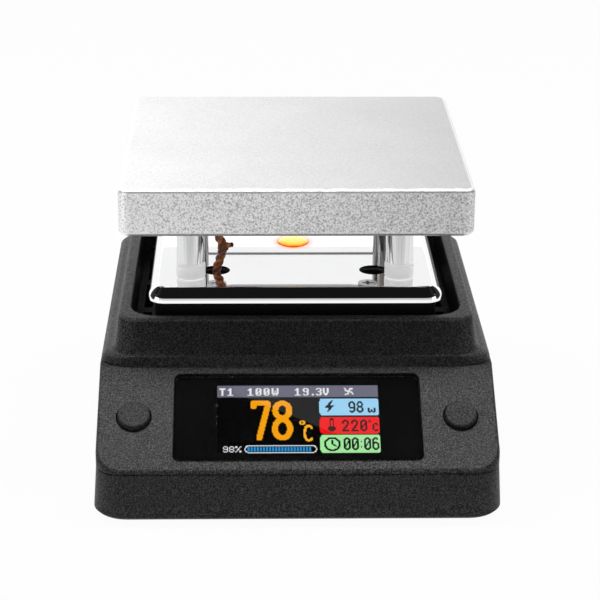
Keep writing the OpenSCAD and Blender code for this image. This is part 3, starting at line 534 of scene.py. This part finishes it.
def refined(node, name, edge, limit=50):
    # The CAD node's own shape, welded, with its crisp edges eased by edge mm
    mesh = frame["nodes"][node].data.copy()
    mesh.name = name
    for attribute in ("custom_normal", "sharp_face"):
        if attribute in mesh.attributes:
            mesh.attributes.remove(mesh.attributes[attribute])
    shell = bmesh.new()
    shell.from_mesh(mesh)
    bmesh.ops.remove_doubles(shell, verts=shell.verts, dist=2e-6)
    bmesh.ops.dissolve_limit(shell, angle_limit=math.radians(0.4), verts=shell.verts, edges=shell.edges)
    shell.to_mesh(mesh)
    shell.free()
    mesh.shade_smooth()
    piece = bpy.data.objects.new(name, mesh)
    bpy.context.scene.collection.objects.link(piece)
    ease = piece.modifiers.new("easedEdges", "BEVEL")
    ease.width = edge * mm
    ease.segments = 2
    ease.limit_method = "ANGLE"
    ease.angle_limit = math.radians(limit)
    ease.use_clamp_overlap = True
    even = piece.modifiers.new("evenNormals", "WEIGHTED_NORMAL")
    even.weight = 90
    even.keep_sharp = False
    piece.data.materials[0] = finishes[slotOf[node]]
    settle(piece, node)


# Housing and plate: welded, with eased edges

easedEdges = {"top_housing": 0.1, "base_shell": 0.1, "heating_plate": 0.06}

refined("top_housing", "upperShell", easedEdges["top_housing"])
refined("base_shell", "lowerShell", easedEdges["base_shell"])
refined("heating_plate", "hotPlate", easedEdges["heating_plate"])
print("shells and plate made")


# Posts and insulating rings

postLook = {
    "chamfer": 0.18,
    "bore": 1.22,          # radius and depth of the hole in the lower end
    "boreDepth": 5.0,
    "stud": 3.6,           # threaded end that goes into the plate
    "thread": 1.2,
    "studChamfer": 0.3,
    # painted shade: darker tones for the rear pair of posts
    "rearShadedDark": (0.16, 0.16, 0.165),
    "rearShadedLight": (0.34, 0.34, 0.345),
}
ringLook = {"edge": 0.35, "steps": 5, "gap": 0.1}


def roundSize(node):
    # Radius of an upright round piece and the heights of its ends, mm
    low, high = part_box(node)
    return (high.x - low.x) / 2 / mm, low.z / mm, high.z / mm


def addPosts():
    rearShadedFinish = drawnAluminium("rearPostShadedAluminium", postLook["rearShadedDark"], postLook["rearShadedLight"])
    for side in ("front_left", "front_right", "rear_left", "rear_right"):
        middle = middleOf("post_" + side)
        radius, z0, z1 = roundSize("post_" + side)
        top = z1 - postLook["stud"]
        boreTop = z0 + postLook["boreDepth"]
        bore, thread = postLook["bore"], postLook["thread"]
        c, s = postLook["chamfer"], postLook["studChamfer"]
        profile = [(bore, z0), (radius - c, z0), (radius, z0 + c), (radius, top - c), (radius - c, top),
                   (thread, top), (thread, z1 - s), (thread - s, z1), (0.001, z1), (0.001, boreTop),
                   (bore, boreTop)]
        turned = lathe("post_" + side + "_turned", profile, "post_" + side, middle)
        if side.startswith("rear"):          # the rear pair gets darker tones of the same finish: painted shade
            turned.data.materials[0] = rearShadedFinish
        settle(turned, "post_" + side)

        radius, z0, z1 = roundSize("insulator_" + side)
        inner = thread + ringLook["gap"]
        e, steps = ringLook["edge"], ringLook["steps"]
        profile = ([(inner, z0)] + arc(radius - e, z0 + e, e, e, -90, 0, steps)
                   + arc(radius - e, z1 - e, e, e, 0, 90, steps) + [(inner, z1)])
        settle(lathe("ring_" + side, profile, "insulator_" + side, middle), "insulator_" + side)


addPosts()
print("posts and rings made")


# Heater's lead: three braided wires laid together, tied with thread

lead = {
    "strand": 0.36,        # radius of one wire, mm
    "lay": 0.33,           # distance of a wire's middle from the bundle's middle, mm
    "pitch": 3.2,          # mm along the bundle for one turn
    "steps": 10,           # points of the curve from one point of the route to the next
    "tones": [((0.28, 0.07, 0.02), (0.95, 0.36, 0.1)), ((0.18, 0.045, 0.06), (0.6, 0.22, 0.22)),
              ((0.15, 0.04, 0.016), (0.62, 0.2, 0.07))],
}
wellMiddle = middleOf("heating_plate")
wellMiddle.z = 0
# About the plate's middle, from the heater down to the plug
leadRoute = [(-5, -5.6, 34.2), (-8, -9, 34.2), (-10.6, -11.5, 33.1), (-11.1, -12.6, 31.2),
             (-10.5, -12.7, 29.6), (-10.9, -12.7, 27.9), (-11.4, -12.7, 26.2), (-11.5, -12.6, 24.2),
             (-11.3, -11.4, 21), (-10.7, -8.2, 18), (-9.8, -3.8, 15.8), (-9, 1, 14.6), (-8.5, 4, 12.9),
             (-8.5, 4.2, 10.9)]
tieAt = wellMiddle + Vector(leadRoute[4]) * mm


def smoothRoute(route, steps):
    # Curve through every point of the route
    points = [wellMiddle + Vector(p) * mm for p in route]
    last = len(points) - 1
    curve = []
    for i in range(last):
        a, b, c, d = (points[max(i - 1, 0)], points[i], points[i + 1], points[min(i + 2, last)])
        for k in range(steps):
            t = k / steps
            curve.append(0.5 * (2 * b + (c - a) * t + (2 * a - 5 * b + 4 * c - d) * t * t
                                + (3 * b - 3 * c + d - a) * t ** 3))
    return curve + [points[last]]


def wireSleeve(name, dark, light):
    # Varnished glass-fibre braid
    mat, tree, shader = newMaterial(name, Coat_Weight=0.3, Coat_Roughness=0.3)
    links = {"Vector": millimetres(tree), "Scale": 4.5}
    weave = addNode(tree, "ShaderNodeTexVoronoi", links).outputs["Distance"]
    dress(tree, shader, weave, [(0.3, light), (0.8, dark)], (0.35, 0.6), (0.1, 0.6))
    bump(tree, shader, weave, -0.06, 0.8)
    return mat


def addLead():
    path = smoothRoute(leadRoute, lead["steps"])
    strands = []
    for k, (dark, light) in enumerate(lead["tones"]):
        phase = 2 * math.pi * k / len(lead["tones"])

        def aside(i, length, phase=phase):
            a = phase + 2 * math.pi * length / (lead["pitch"] * mm)
            return lead["lay"] * mm * math.cos(a), lead["lay"] * mm * math.sin(a)

        strands.append(sweep("lead_wire_%d" % (k + 1), path, lead["strand"] * mm, "heater_lead",
                             wireSleeve("wireSleeve%d" % (k + 1), dark, light), 10, aside))
    for strand in strands:
        settle(strand, "heater_lead")


tie = {
    "thread": 0.13,        # radius of the thread, and of its turns round the lead
    "round": 0.68,
    "turns": 4,
    "rise": 0.25,
    "stub": 0.36,          # radius of the cut sleeve, and where it starts and ends along its aim
    "stubFrom": 0.2,
    "stubTo": 1.75,
    "stubAim": (1, -0.75, 0.42),
    "stubWall": 0.06,
    "mouth": (-0.1, 0.02),  # where the black disc of painted shade in the mouth starts and ends, from the sleeve's end
}


def addTie():
    steps = 24
    turns = [tieAt + Vector((tie["round"] * math.cos(2 * math.pi * i / steps),
                             tie["round"] * math.sin(2 * math.pi * i / steps),
                             tie["rise"] * (i / steps - tie["turns"] / 2))) * mm
             for i in range(steps * tie["turns"] + 1)]
    settle(sweep("tie_turns", turns, tie["thread"] * mm, "lead_tie", finishes["tie_thread"], 8), "lead_tie")

    # Cut end of a sleeve, held by the tie, with a black disc in its mouth, painted shade of the hollow inside
    aim = Vector(tie["stubAim"]).normalized()
    start, long = tie["stubFrom"], tie["stubTo"] - tie["stubFrom"]
    path = [tieAt + aim * (start + long * i / 8) * mm for i in range(9)]
    sleeve = wireSleeve("stubSleeve", *lead["tones"][0])
    settle(sweep("tie_stub", path, tie["stub"] * mm, "lead_tie", sleeve, 14), "lead_tie")
    black = moulded("stubMouthShade", (0.004, 0.003, 0.003), (0.012, 0.01, 0.01), 0.7)
    path = [path[-1] + aim * step * mm for step in tie["mouth"]]
    radius = (tie["stub"] - tie["stubWall"]) * mm
    settle(sweep("tie_stub_mouth", path, radius, "lead_tie", black, 14), "lead_tie")


addLead()
addTie()
print("lead and tie made")


# Window: clear slab with its printed border

pressAxis = next(Vector(j["axis"]) for j in frame["joints"] if j["name"] == "left_button_press")
panelOut = -pressAxis.normalized()
panelUp = Vector((0, panelOut.z, -panelOut.y))
windowMid = middleOf("display_window")

window = {
    "w": 34.4, "h": 14.85, "thick": 1.0, "corner": 1.0, "chamfer": 0.12,
    "printLift": 0.004, "printThick": 0.015,
    "picture": (22.6, 11.5), "pictureShift": (0.1, 0.14), "pictureDepth": 0.035,
    "holeGap": 0.1, "holeCorner": 0.25,
}


def onPanel(x, s, n):
    # mm from the window's middle: across, up the slope, out of the panel
    return windowMid + Vector((x, 0, 0)) * mm + panelUp * s * mm + panelOut * n * mm


def roundedLoop(w, h, radius, steps=6, shift=(0, 0)):
    # Outline of a rounded rectangle, mm
    loop = []
    for turn, (sx, sy) in enumerate(((1, 1), (-1, 1), (-1, -1), (1, -1))):
        for i in range(steps + 1):
            a = math.radians(90 * turn + 90 * i / steps)
            loop.append((sx * (w / 2 - radius) + radius * math.cos(a) + shift[0],
                         sy * (h / 2 - radius) + radius * math.sin(a) + shift[1]))
    return loop


def stackLoops(levels):
    # levels: (loop, n) from the lowest up; neighbours are joined by walls
    verts = [onPanel(x, s, n) for loop, n in levels for x, s in loop]
    count = len(levels[0][0])
    walls = []
    for i in range(len(levels) - 1):
        for k in range(count):
            j = (k + 1) % count
            walls.append((i * count + k, i * count + j, (i + 1) * count + j, (i + 1) * count + k))
    return verts, walls, count


def addWindow():
    w, h, half, c = window["w"], window["h"], window["thick"] / 2, window["chamfer"]
    corner = window["corner"]
    full = roundedLoop(w, h, corner)
    inset = roundedLoop(w - 2 * c, h - 2 * c, corner - c)
    verts, walls, count = stackLoops([(inset, -half), (full, -half + c), (full, half - c), (inset, half)])
    top = 3 * count
    faces = walls + [tuple(reversed(range(count))), tuple(range(top, top + count))]
    glass = addPiece("window_glass_slab", verts, faces, "display_window", smooth=False)
    settle(glass, "display_window")

    # Black print in the back of the glass, with a hole for the picture
    black = moulded("windowPrint", (0.004, 0.004, 0.004), (0.008, 0.008, 0.008), 0.5, 0.3, 0.002, 0.02)
    n0 = -half + window["printLift"]
    n1 = n0 + window["printThick"]
    wide, high = (side + window["holeGap"] for side in window["picture"])
    hole = roundedLoop(wide, high, window["holeCorner"], shift=window["pictureShift"])
    verts, walls, count = stackLoops([(hole, n0), (inset, n0), (inset, n1), (hole, n1), (hole, n0)])
    shape = addPiece("window_print", verts, walls, "display_window", black, smooth=False)
    weld(shape, 1e-8)
    settle(shape, "display_window")


addWindow()
print("window made")


# Lit picture, drawn on a grid of 160 by 80 lamps

# Strokes of each tall sign in a box one wide and one high, y downwards
signs = {
    "0": [arc(0.5, 0.3, 0.5, 0.3, 180, 360) + arc(0.5, 0.7, 0.5, 0.3, 0, 180) + [(0, 0.3)]],
    "2": [arc(0.5, 0.3, 0.5, 0.3, 190, 375) + [(0, 1), (1, 1)]],
    "6": [arc(0.5, 0.69, 0.5, 0.31, 0, 360), [(0, 0.69)] + arc(0.5, 0.32, 0.5, 0.32, 180, 320)],
    "8": [arc(0.5, 0.25, 0.45, 0.25, 0, 360), arc(0.5, 0.74, 0.5, 0.26, 0, 360)],
    "9": [arc(0.5, 0.31, 0.5, 0.31, 0, 360), [(1, 0.31)] + arc(0.5, 0.68, 0.5, 0.32, 0, 140)],
    "C": [arc(0.55, 0.5, 0.55, 0.5, 40, 320)],
    "w": [[(0, 0), (0, 0.7), (0.2, 1), (0.5, 0.75), (0.5, 0.4)], [(0.5, 0.75), (0.8, 1), (1, 0.7), (1, 0)]],
    "°": [arc(0.5, 0.5, 0.5, 0.5, 0, 360)],
    ":": [[(0.5, 0.28), (0.5, 0.28)], [(0.5, 0.78), (0.5, 0.78)]],
}

# Small signs, one lamp to a mark, nine rows each, and tiny ones of seven
bits = {
    "0": ".####. ##..## ##..## ##.### ##.### ###.## ###.## ##..## .####.",
    "1": "..##.. .###.. ####.. ..##.. ..##.. ..##.. ..##.. ..##.. ######",
    "3": ".####. ##..## ....## ....## ..###. ....## ....## ##..## .####.",
    "9": ".####. ##..## ##..## ##..## .##### ....## ....## ##..## .####.",
    "T": "###### ###### ..##.. ..##.. ..##.. ..##.. ..##.. ..##.. ..##..",
    "V": "##..## ##..## ##..## ##..## ##..## ##..## .####. .####. ..##..",
    "W": "##...## ##...## ##...## ##.#.## ##.#.## ##.#.## ####### .##.##. .##.##.",
    ".": ". . . . . . . ## ##",
}
tinyBits = {
    "8": ".###. #...# #...# .###. #...# #...# .###.",
    "9": ".###. #...# #...# .#### ....# #...# .###.",
    "%": "##...# ##..#. ...#.. ..##.. ..#... .#..## #...##",
}

tones = {
    "off": (0, 0, 0), "bar": (108, 108, 126), "white": (240, 240, 244), "orange": (255, 168, 12),
    "amber": (255, 184, 40), "blue": (40, 150, 220), "sky": (160, 218, 252), "red": (248, 20, 22),
    "green": (170, 242, 164), "ink": (12, 12, 20), "inkRed": (60, 0, 10),
}
columns, rows = 160, 80
lamps = [["off"] * columns for _ in range(rows)]


def paint(tone, inside, x0, y0, x1, y1):
    for row in range(max(0, math.floor(y0)), min(rows, math.ceil(y1))):
        for column in range(max(0, math.floor(x0)), min(columns, math.ceil(x1))):
            if inside(column + 0.5, row + 0.5):
                lamps[row][column] = tone


def paintTile(tone, x0, y0, x1, y1, radius=0.0):
    def inside(x, y):
        dx = max(x0 + radius - x, x - x1 + radius, 0)
        dy = max(y0 + radius - y, y - y1 + radius, 0)
        return x0 <= x <= x1 and y0 <= y <= y1 and math.hypot(dx, dy) <= max(radius, 0.01)
    paint(tone, inside, x0, y0, x1, y1)


def paintStroke(tone, points, width):
    def reach(x, y, a, b):
        dx, dy = b[0] - a[0], b[1] - a[1]
        span = dx * dx + dy * dy
        t = 0 if span == 0 else max(0, min(1, ((x - a[0]) * dx + (y - a[1]) * dy) / span))
        return math.hypot(x - a[0] - t * dx, y - a[1] - t * dy)

    pairs = list(zip(points, points[1:]))
    xs, ys = [p[0] for p in points], [p[1] for p in points]
    paint(tone, lambda x, y: any(reach(x, y, a, b) <= width / 2 for a, b in pairs),
          min(xs) - width, min(ys) - width, max(xs) + width, max(ys) + width)


def paintShape(tone, points):
    def inside(x, y):
        odd = False
        for (ax, ay), (bx, by) in zip(points, points[1:] + points[:1]):
            if (ay > y) != (by > y) and x < ax + (y - ay) * (bx - ax) / (by - ay):
                odd = not odd
        return odd
    xs, ys = [p[0] for p in points], [p[1] for p in points]
    paint(tone, inside, min(xs), min(ys), max(xs), max(ys))


def write(tone, text, x, y, w, h, width, gap, slash=False):
    # Each sign is w wide; a colon takes less
    for sign in text:
        narrow = round((0.4 if sign == ":" else 1) * w)
        inset = width / 2
        for line in signs[sign]:
            paintStroke(tone, [(x + inset + px * (narrow - width), y + inset + py * (h - width))
                               for px, py in line], width)
        if slash and sign == "0":
            paintStroke(tone, [(x + narrow * 0.3, y + h * 0.68), (x + narrow * 0.7, y + h * 0.32)],
                        width * 0.7)
        x += narrow + gap


def writeSmall(tone, text, x, y, pitch, marks=bits):
    for sign in text:
        for row, line in enumerate(marks[sign].split()):
            for column, mark in enumerate(line):
                if mark == "#":
                    lamps[int(y) + row][int(x) + column] = tone
        x += pitch if sign != "." else 4


def paintBar():
    paintTile("bar", 0, 0, columns, 13.6)
    writeSmall("white", "T1", 2, 3, 8)
    writeSmall("white", "100W", 30, 3, 8)
    writeSmall("white", "19", 77, 3, 8)
    writeSmall("white", ".3V", 94, 3, 7)
    for quarter in range(4):                      # fan sign
        a = math.radians(20 + 90 * quarter)
        cx, cy = 131, 7.2
        bend = [(cx + r * math.cos(a + turn), cy + 0.95 * r * math.sin(a + turn))
                for r, turn in ((0.3, 0), (3.2, 0), (5.2, 0.42))]
        paintStroke("white", bend, 1.7)


def paintReading():
    paintStroke("orange", [(36, 25), (36, 21), (49.6, 21), (49.6, 26), (41.5, 62.4)], 6)
    for line in (arc(64.4, 29.8, 7.0, 8.8, 0, 360, 24), arc(64.4, 51.6, 7.4, 10.8, 0, 360, 24)):
        paintStroke("orange", line, 6)
    paintStroke("amber", arc(83.8, 44.5, 2.1, 2.1, 0, 360), 1.7)
    paintStroke("amber", arc(90.2, 56.8, 4.2, 8.8, 45, 315), 2.6)
    writeSmall("white", "98%", 6, 72, 6, tinyBits)
    outline = arc(31.3, 75.3, 3.6, 3.9, 90, 270) + arc(93.7, 75.3, 3.6, 3.9, -90, 90)
    paintStroke("white", outline + outline[:1], 1.1)
    for tick in range(21):
        paintTile("blue", 30 + 3 * tick, 73, 32 + 3 * tick, 78)


def paintTiles():
    paintTile("sky", 101.5, 15.6, 160, 36, 3)
    paintShape("ink", [(113, 18), (106.5, 26.6), (110.6, 26.6), (108.6, 33), (116.6, 23.8), (112, 23.8),
                       (115, 18)])
    write("ink", "98", 130, 19, 7, 14, 2, 1)
    write("ink", "w", 149, 27, 8, 6, 1.6, 0)

    paintTile("red", 101.5, 37.6, 160, 57.6, 3)
    paintStroke("inkRed", [(113, 41), (113, 50)], 3.6)
    paintStroke("inkRed", [(113, 51.6), (113, 51.7)], 7.4)
    paintStroke("red", [(113, 42), (113, 49)], 1.2)
    write("inkRed", "220", 123, 41, 7, 14, 2, 2, True)
    write("inkRed", "°", 149, 41, 3, 4, 1, 0)
    write("inkRed", "C", 153, 45, 6, 10, 1.7, 0)

    paintTile("green", 101.5, 59, 160, 80, 3)
    paintStroke("ink", arc(113, 69.8, 7.2, 7.2, 0, 360, 24), 2.2)
    paintStroke("ink", [(113, 65.4), (113, 69.8), (116.4, 71.8)], 1.7)
    write("ink", "00:06", 124, 62, 7, 15, 2, 1, True)


def litScreen():
    # Each lamp has a thin dark frame round it
    mat, tree, shader = newMaterial("litScreen", Base_Color=(0.003, 0.003, 0.003, 1), Roughness=0.5,
                                    Specular_IOR_Level=0.0, Emission_Strength=1.0)
    glow = addNode(tree, "ShaderNodeVertexColor", layer_name="glow").outputs["Color"]
    pitch = window["picture"][0] / columns
    counted = axes(tree, millimetres(tree, [1 / pitch] * 3))["X"]
    lit = remap(tree, offMiddle(tree, counted), 0.42, 0.5, 1.0, 0.8)
    tree.links.new(vectorMaths(tree, "SCALE", {0: glow, "Scale": lit}), shader.inputs["Emission Color"])
    return mat


# painted glare on the screen: its level, where its slanting edge starts, and its slope
sheenLook = {"level": 0.024, "from": (15.8, 7.5), "slope": 0.494}


def sheen(column, row):
    # Painted glare: a paler wedge added to the picture's light above a slanting line, in place of a reflection on
    # the film over the screen
    x, y = sheenLook["from"]
    return sheenLook["level"] if column > x and row < y + sheenLook["slope"] * (column - x) else 0.0


def addPicture():
    paintBar()
    paintReading()
    paintTiles()
    wide, high = window["picture"]
    left = window["pictureShift"][0] - wide / 2
    top = window["pictureShift"][1] + high / 2
    n = -window["thick"] / 2 - window["pictureDepth"]
    verts, faces, glows = [], [], []
    for row in range(rows):
        looks = [(lamps[row][column], sheen(column, row)) for column in range(columns)]
        start = 0
        while start < columns:
            stop = start
            while stop < columns and looks[stop] == looks[start]:
                stop += 1
            base = len(verts)
            for x, y in ((start, row + 1), (stop, row + 1), (stop, row), (start, row)):
                verts.append(onPanel(left + x * wide / columns, top - y * high / rows, n))
            faces.append((base, base + 1, base + 2, base + 3))
            tone, shine = looks[start]
            # the painted glare is added to the lamp's light
            glows.append([light + shine for light in srgb(*tones[tone])])
            start = stop
    picture = addPiece("lit_picture", verts, faces, "display_module", litScreen(), smooth=False)
    layer = picture.data.color_attributes.new("glow", "FLOAT_COLOR", "CORNER")
    for polygon, glow in zip(picture.data.polygons, glows):
        for corner in polygon.loop_indices:
            layer.data[corner].color = (*glow, 1)
    settle(picture, "display_module", replaced=False)


addPicture()
print("picture made")


# Floor and light

floorLook = {
    "size": 4.0,
    "plain": 0.96,         # white that the camera sees
    "mirrored": 0.95,      # white that metal sees beside and behind the object, and in front of it
    "mirroredFront": 0.66,
    "frontTurn": (48, 58),  # degrees from the front between which one passes into the other
    "pale": 0.94,          # paleness of the sheet, and what it falls to in front of the object
    "far": 0.12,
    "paleTo": (-0.1, -0.07),
}


def turnFromFront(tree, way):
    # Angle of a direction from the front, 0 to half a turn on both sides
    return maths(tree, "ARCTAN2", maths(tree, "ABSOLUTE", way["X"]), maths(tree, "MULTIPLY", way["Y"], -1.0))


def addFloor():
    half = floorLook["size"] / 2
    mesh = bpy.data.meshes.new("floor")
    corners = [(-half, -half, 0), (half, -half, 0), (half, half, 0), (-half, half, 0)]
    mesh.from_pydata(corners, [], [(0, 1, 2, 3)])
    floor = bpy.data.objects.new("floor", mesh)
    bpy.context.scene.collection.objects.link(floor)
    mat = bpy.data.materials.new("floorPaper")
    mat.use_nodes = True
    tree = mat.node_tree
    tree.nodes.clear()
    rays = addNode(tree, "ShaderNodeLightPath")
    # In metal the paper in front of the object is greyer than that beside and behind it
    apart = axes(tree, addNode(tree, "ShaderNodeNewGeometry").outputs["Position"])
    low, high = (math.radians(angle) for angle in floorLook["frontTurn"])
    mirrored = remap(tree, turnFromFront(tree, apart), low, high, floorLook["mirroredFront"],
                     floorLook["mirrored"], True)
    straight = maths(tree, "MAXIMUM", rays.outputs["Is Camera Ray"], rays.outputs["Is Transmission Ray"])
    share = maths(tree, "MAXIMUM", maths(tree, "MULTIPLY", straight, floorLook["plain"]),
                  maths(tree, "MULTIPLY", rays.outputs["Is Glossy Ray"], mirrored))
    # The pale sheet ends a little in front of the object, so little light comes back from there
    pale = remap(tree, apart["Y"], *floorLook["paleTo"], floorLook["far"], floorLook["pale"], True)
    matt = addNode(tree, "ShaderNodeBsdfDiffuse", {"Color": pale})
    plain = addNode(tree, "ShaderNodeEmission", {"Color": (1, 1, 1, 1), "Strength": 1.0})
    mix = addNode(tree, "ShaderNodeMixShader", {0: share, 1: matt.outputs[0], 2: plain.outputs[0]})
    out = addNode(tree, "ShaderNodeOutputMaterial", {"Surface": mix.outputs[0]})
    out.is_active_output = True
    mesh.materials.append(mat)


studio = {
    # level round the horizon as seen in metal: share of a half turn from the front, level
    "round": [(0.0, 0.62), (0.25, 0.62), (0.28, 1.6), (0.39, 1.6), (0.43, 0.03), (0.66, 0.03), (0.72, 1.25),
              (1.0, 1.25)],
    "frontTop": (0.36, 0.43),       # height at which the room in front goes dark
    "frontLow": (0.12, 0.24, 1.6),  # below this the front is lighter by the third number
    "backTop": (0.5, 0.82),         # and the same for the room behind
    "overhead": 0.012,              # share of its light that is left above
    "leftRight": (1.06, 0.92),      # level at the left and at the right
    "matt": 0.06,                   # share of the room's light that reaches matt surfaces
    "lamps": [
        # name, place, aim, width, depth, brightness of its face
        ("topStrip", (0, 0.083, 0.6), (0, -0.01, 0.02), 0.7, 0.075, 16.5),
        ("leftBox", (-0.36, 0.085, 0.44), (0, 0, 0.03), 0.25, 0.12, 5.6),
        ("rightBox", (0.4, 0.085, 0.44), (0, 0, 0.03), 0.2, 0.12, 3.7),
        ("edgeStrip", (0, -0.1, 0.6), (0, -0.01, 0.02), 0.7, 0.12, 5.0),
    ],
}


def addStudio():
    world = bpy.data.worlds.new("studio")
    bpy.context.scene.world = world
    world.use_nodes = True
    tree = world.node_tree
    tree.nodes.clear()
    way = axes(tree, addNode(tree, "ShaderNodeTexCoord").outputs["Generated"])
    top = max(level for at, level in studio["round"])
    ring = ramp(tree, maths(tree, "DIVIDE", turnFromFront(tree, way), math.pi),
                [(at, (level / top,) * 3) for at, level in studio["round"]])
    back = remap(tree, way["Z"], *studio["backTop"], 1.0, studio["overhead"], True)
    front = remap(tree, way["Z"], *studio["frontTop"], 1.0, studio["overhead"], True)
    low, high, lighter = studio["frontLow"]
    front = maths(tree, "MULTIPLY", front, remap(tree, way["Z"], low, high, lighter, 1.0))
    side = remap(tree, way["Y"], -0.25, 0.25, 0, 1, True)
    height = maths(tree, "MULTIPLY_ADD", maths(tree, "SUBTRACT", back, front), side, front)
    sides = remap(tree, way["X"], -1, 1, studio["leftRight"][0] * top, studio["leftRight"][1] * top)
    level = maths(tree, "MULTIPLY", maths(tree, "MULTIPLY", ring, height), sides)
    rays = addNode(tree, "ShaderNodeLightPath")
    clear = maths(tree, "MAXIMUM", rays.outputs["Is Glossy Ray"], rays.outputs["Is Transmission Ray"])
    level = maths(tree, "MULTIPLY", level, maths(tree, "MAXIMUM", clear, studio["matt"]))
    shown = maths(tree, "MAXIMUM", level, rays.outputs["Is Camera Ray"])
    sky = addNode(tree, "ShaderNodeBackground", {"Color": (1, 1, 1, 1), "Strength": shown})
    addNode(tree, "ShaderNodeOutputWorld", {"Surface": sky.outputs[0]})
    for name, place, aim, wide, deep, bright in studio["lamps"]:
        data = bpy.data.lights.new(name, "AREA")
        data.shape = "RECTANGLE"
        data.size = wide
        data.size_y = deep
        data.energy = bright * math.pi * wide * deep
        lamp = bpy.data.objects.new(name, data)
        lamp.visible_diffuse = name != "edgeStrip"     # that one only draws the shine along edges
        bpy.context.scene.collection.objects.link(lamp)
        facing = (Vector(aim) - Vector(place)).to_track_quat("-Z", "Y")
        lamp.matrix_world = Matrix.Translation(place) @ facing.to_matrix().to_4x4()
    bpy.context.scene.view_settings.view_transform = "Standard"


addFloor()
addStudio()
print("floor and light made")
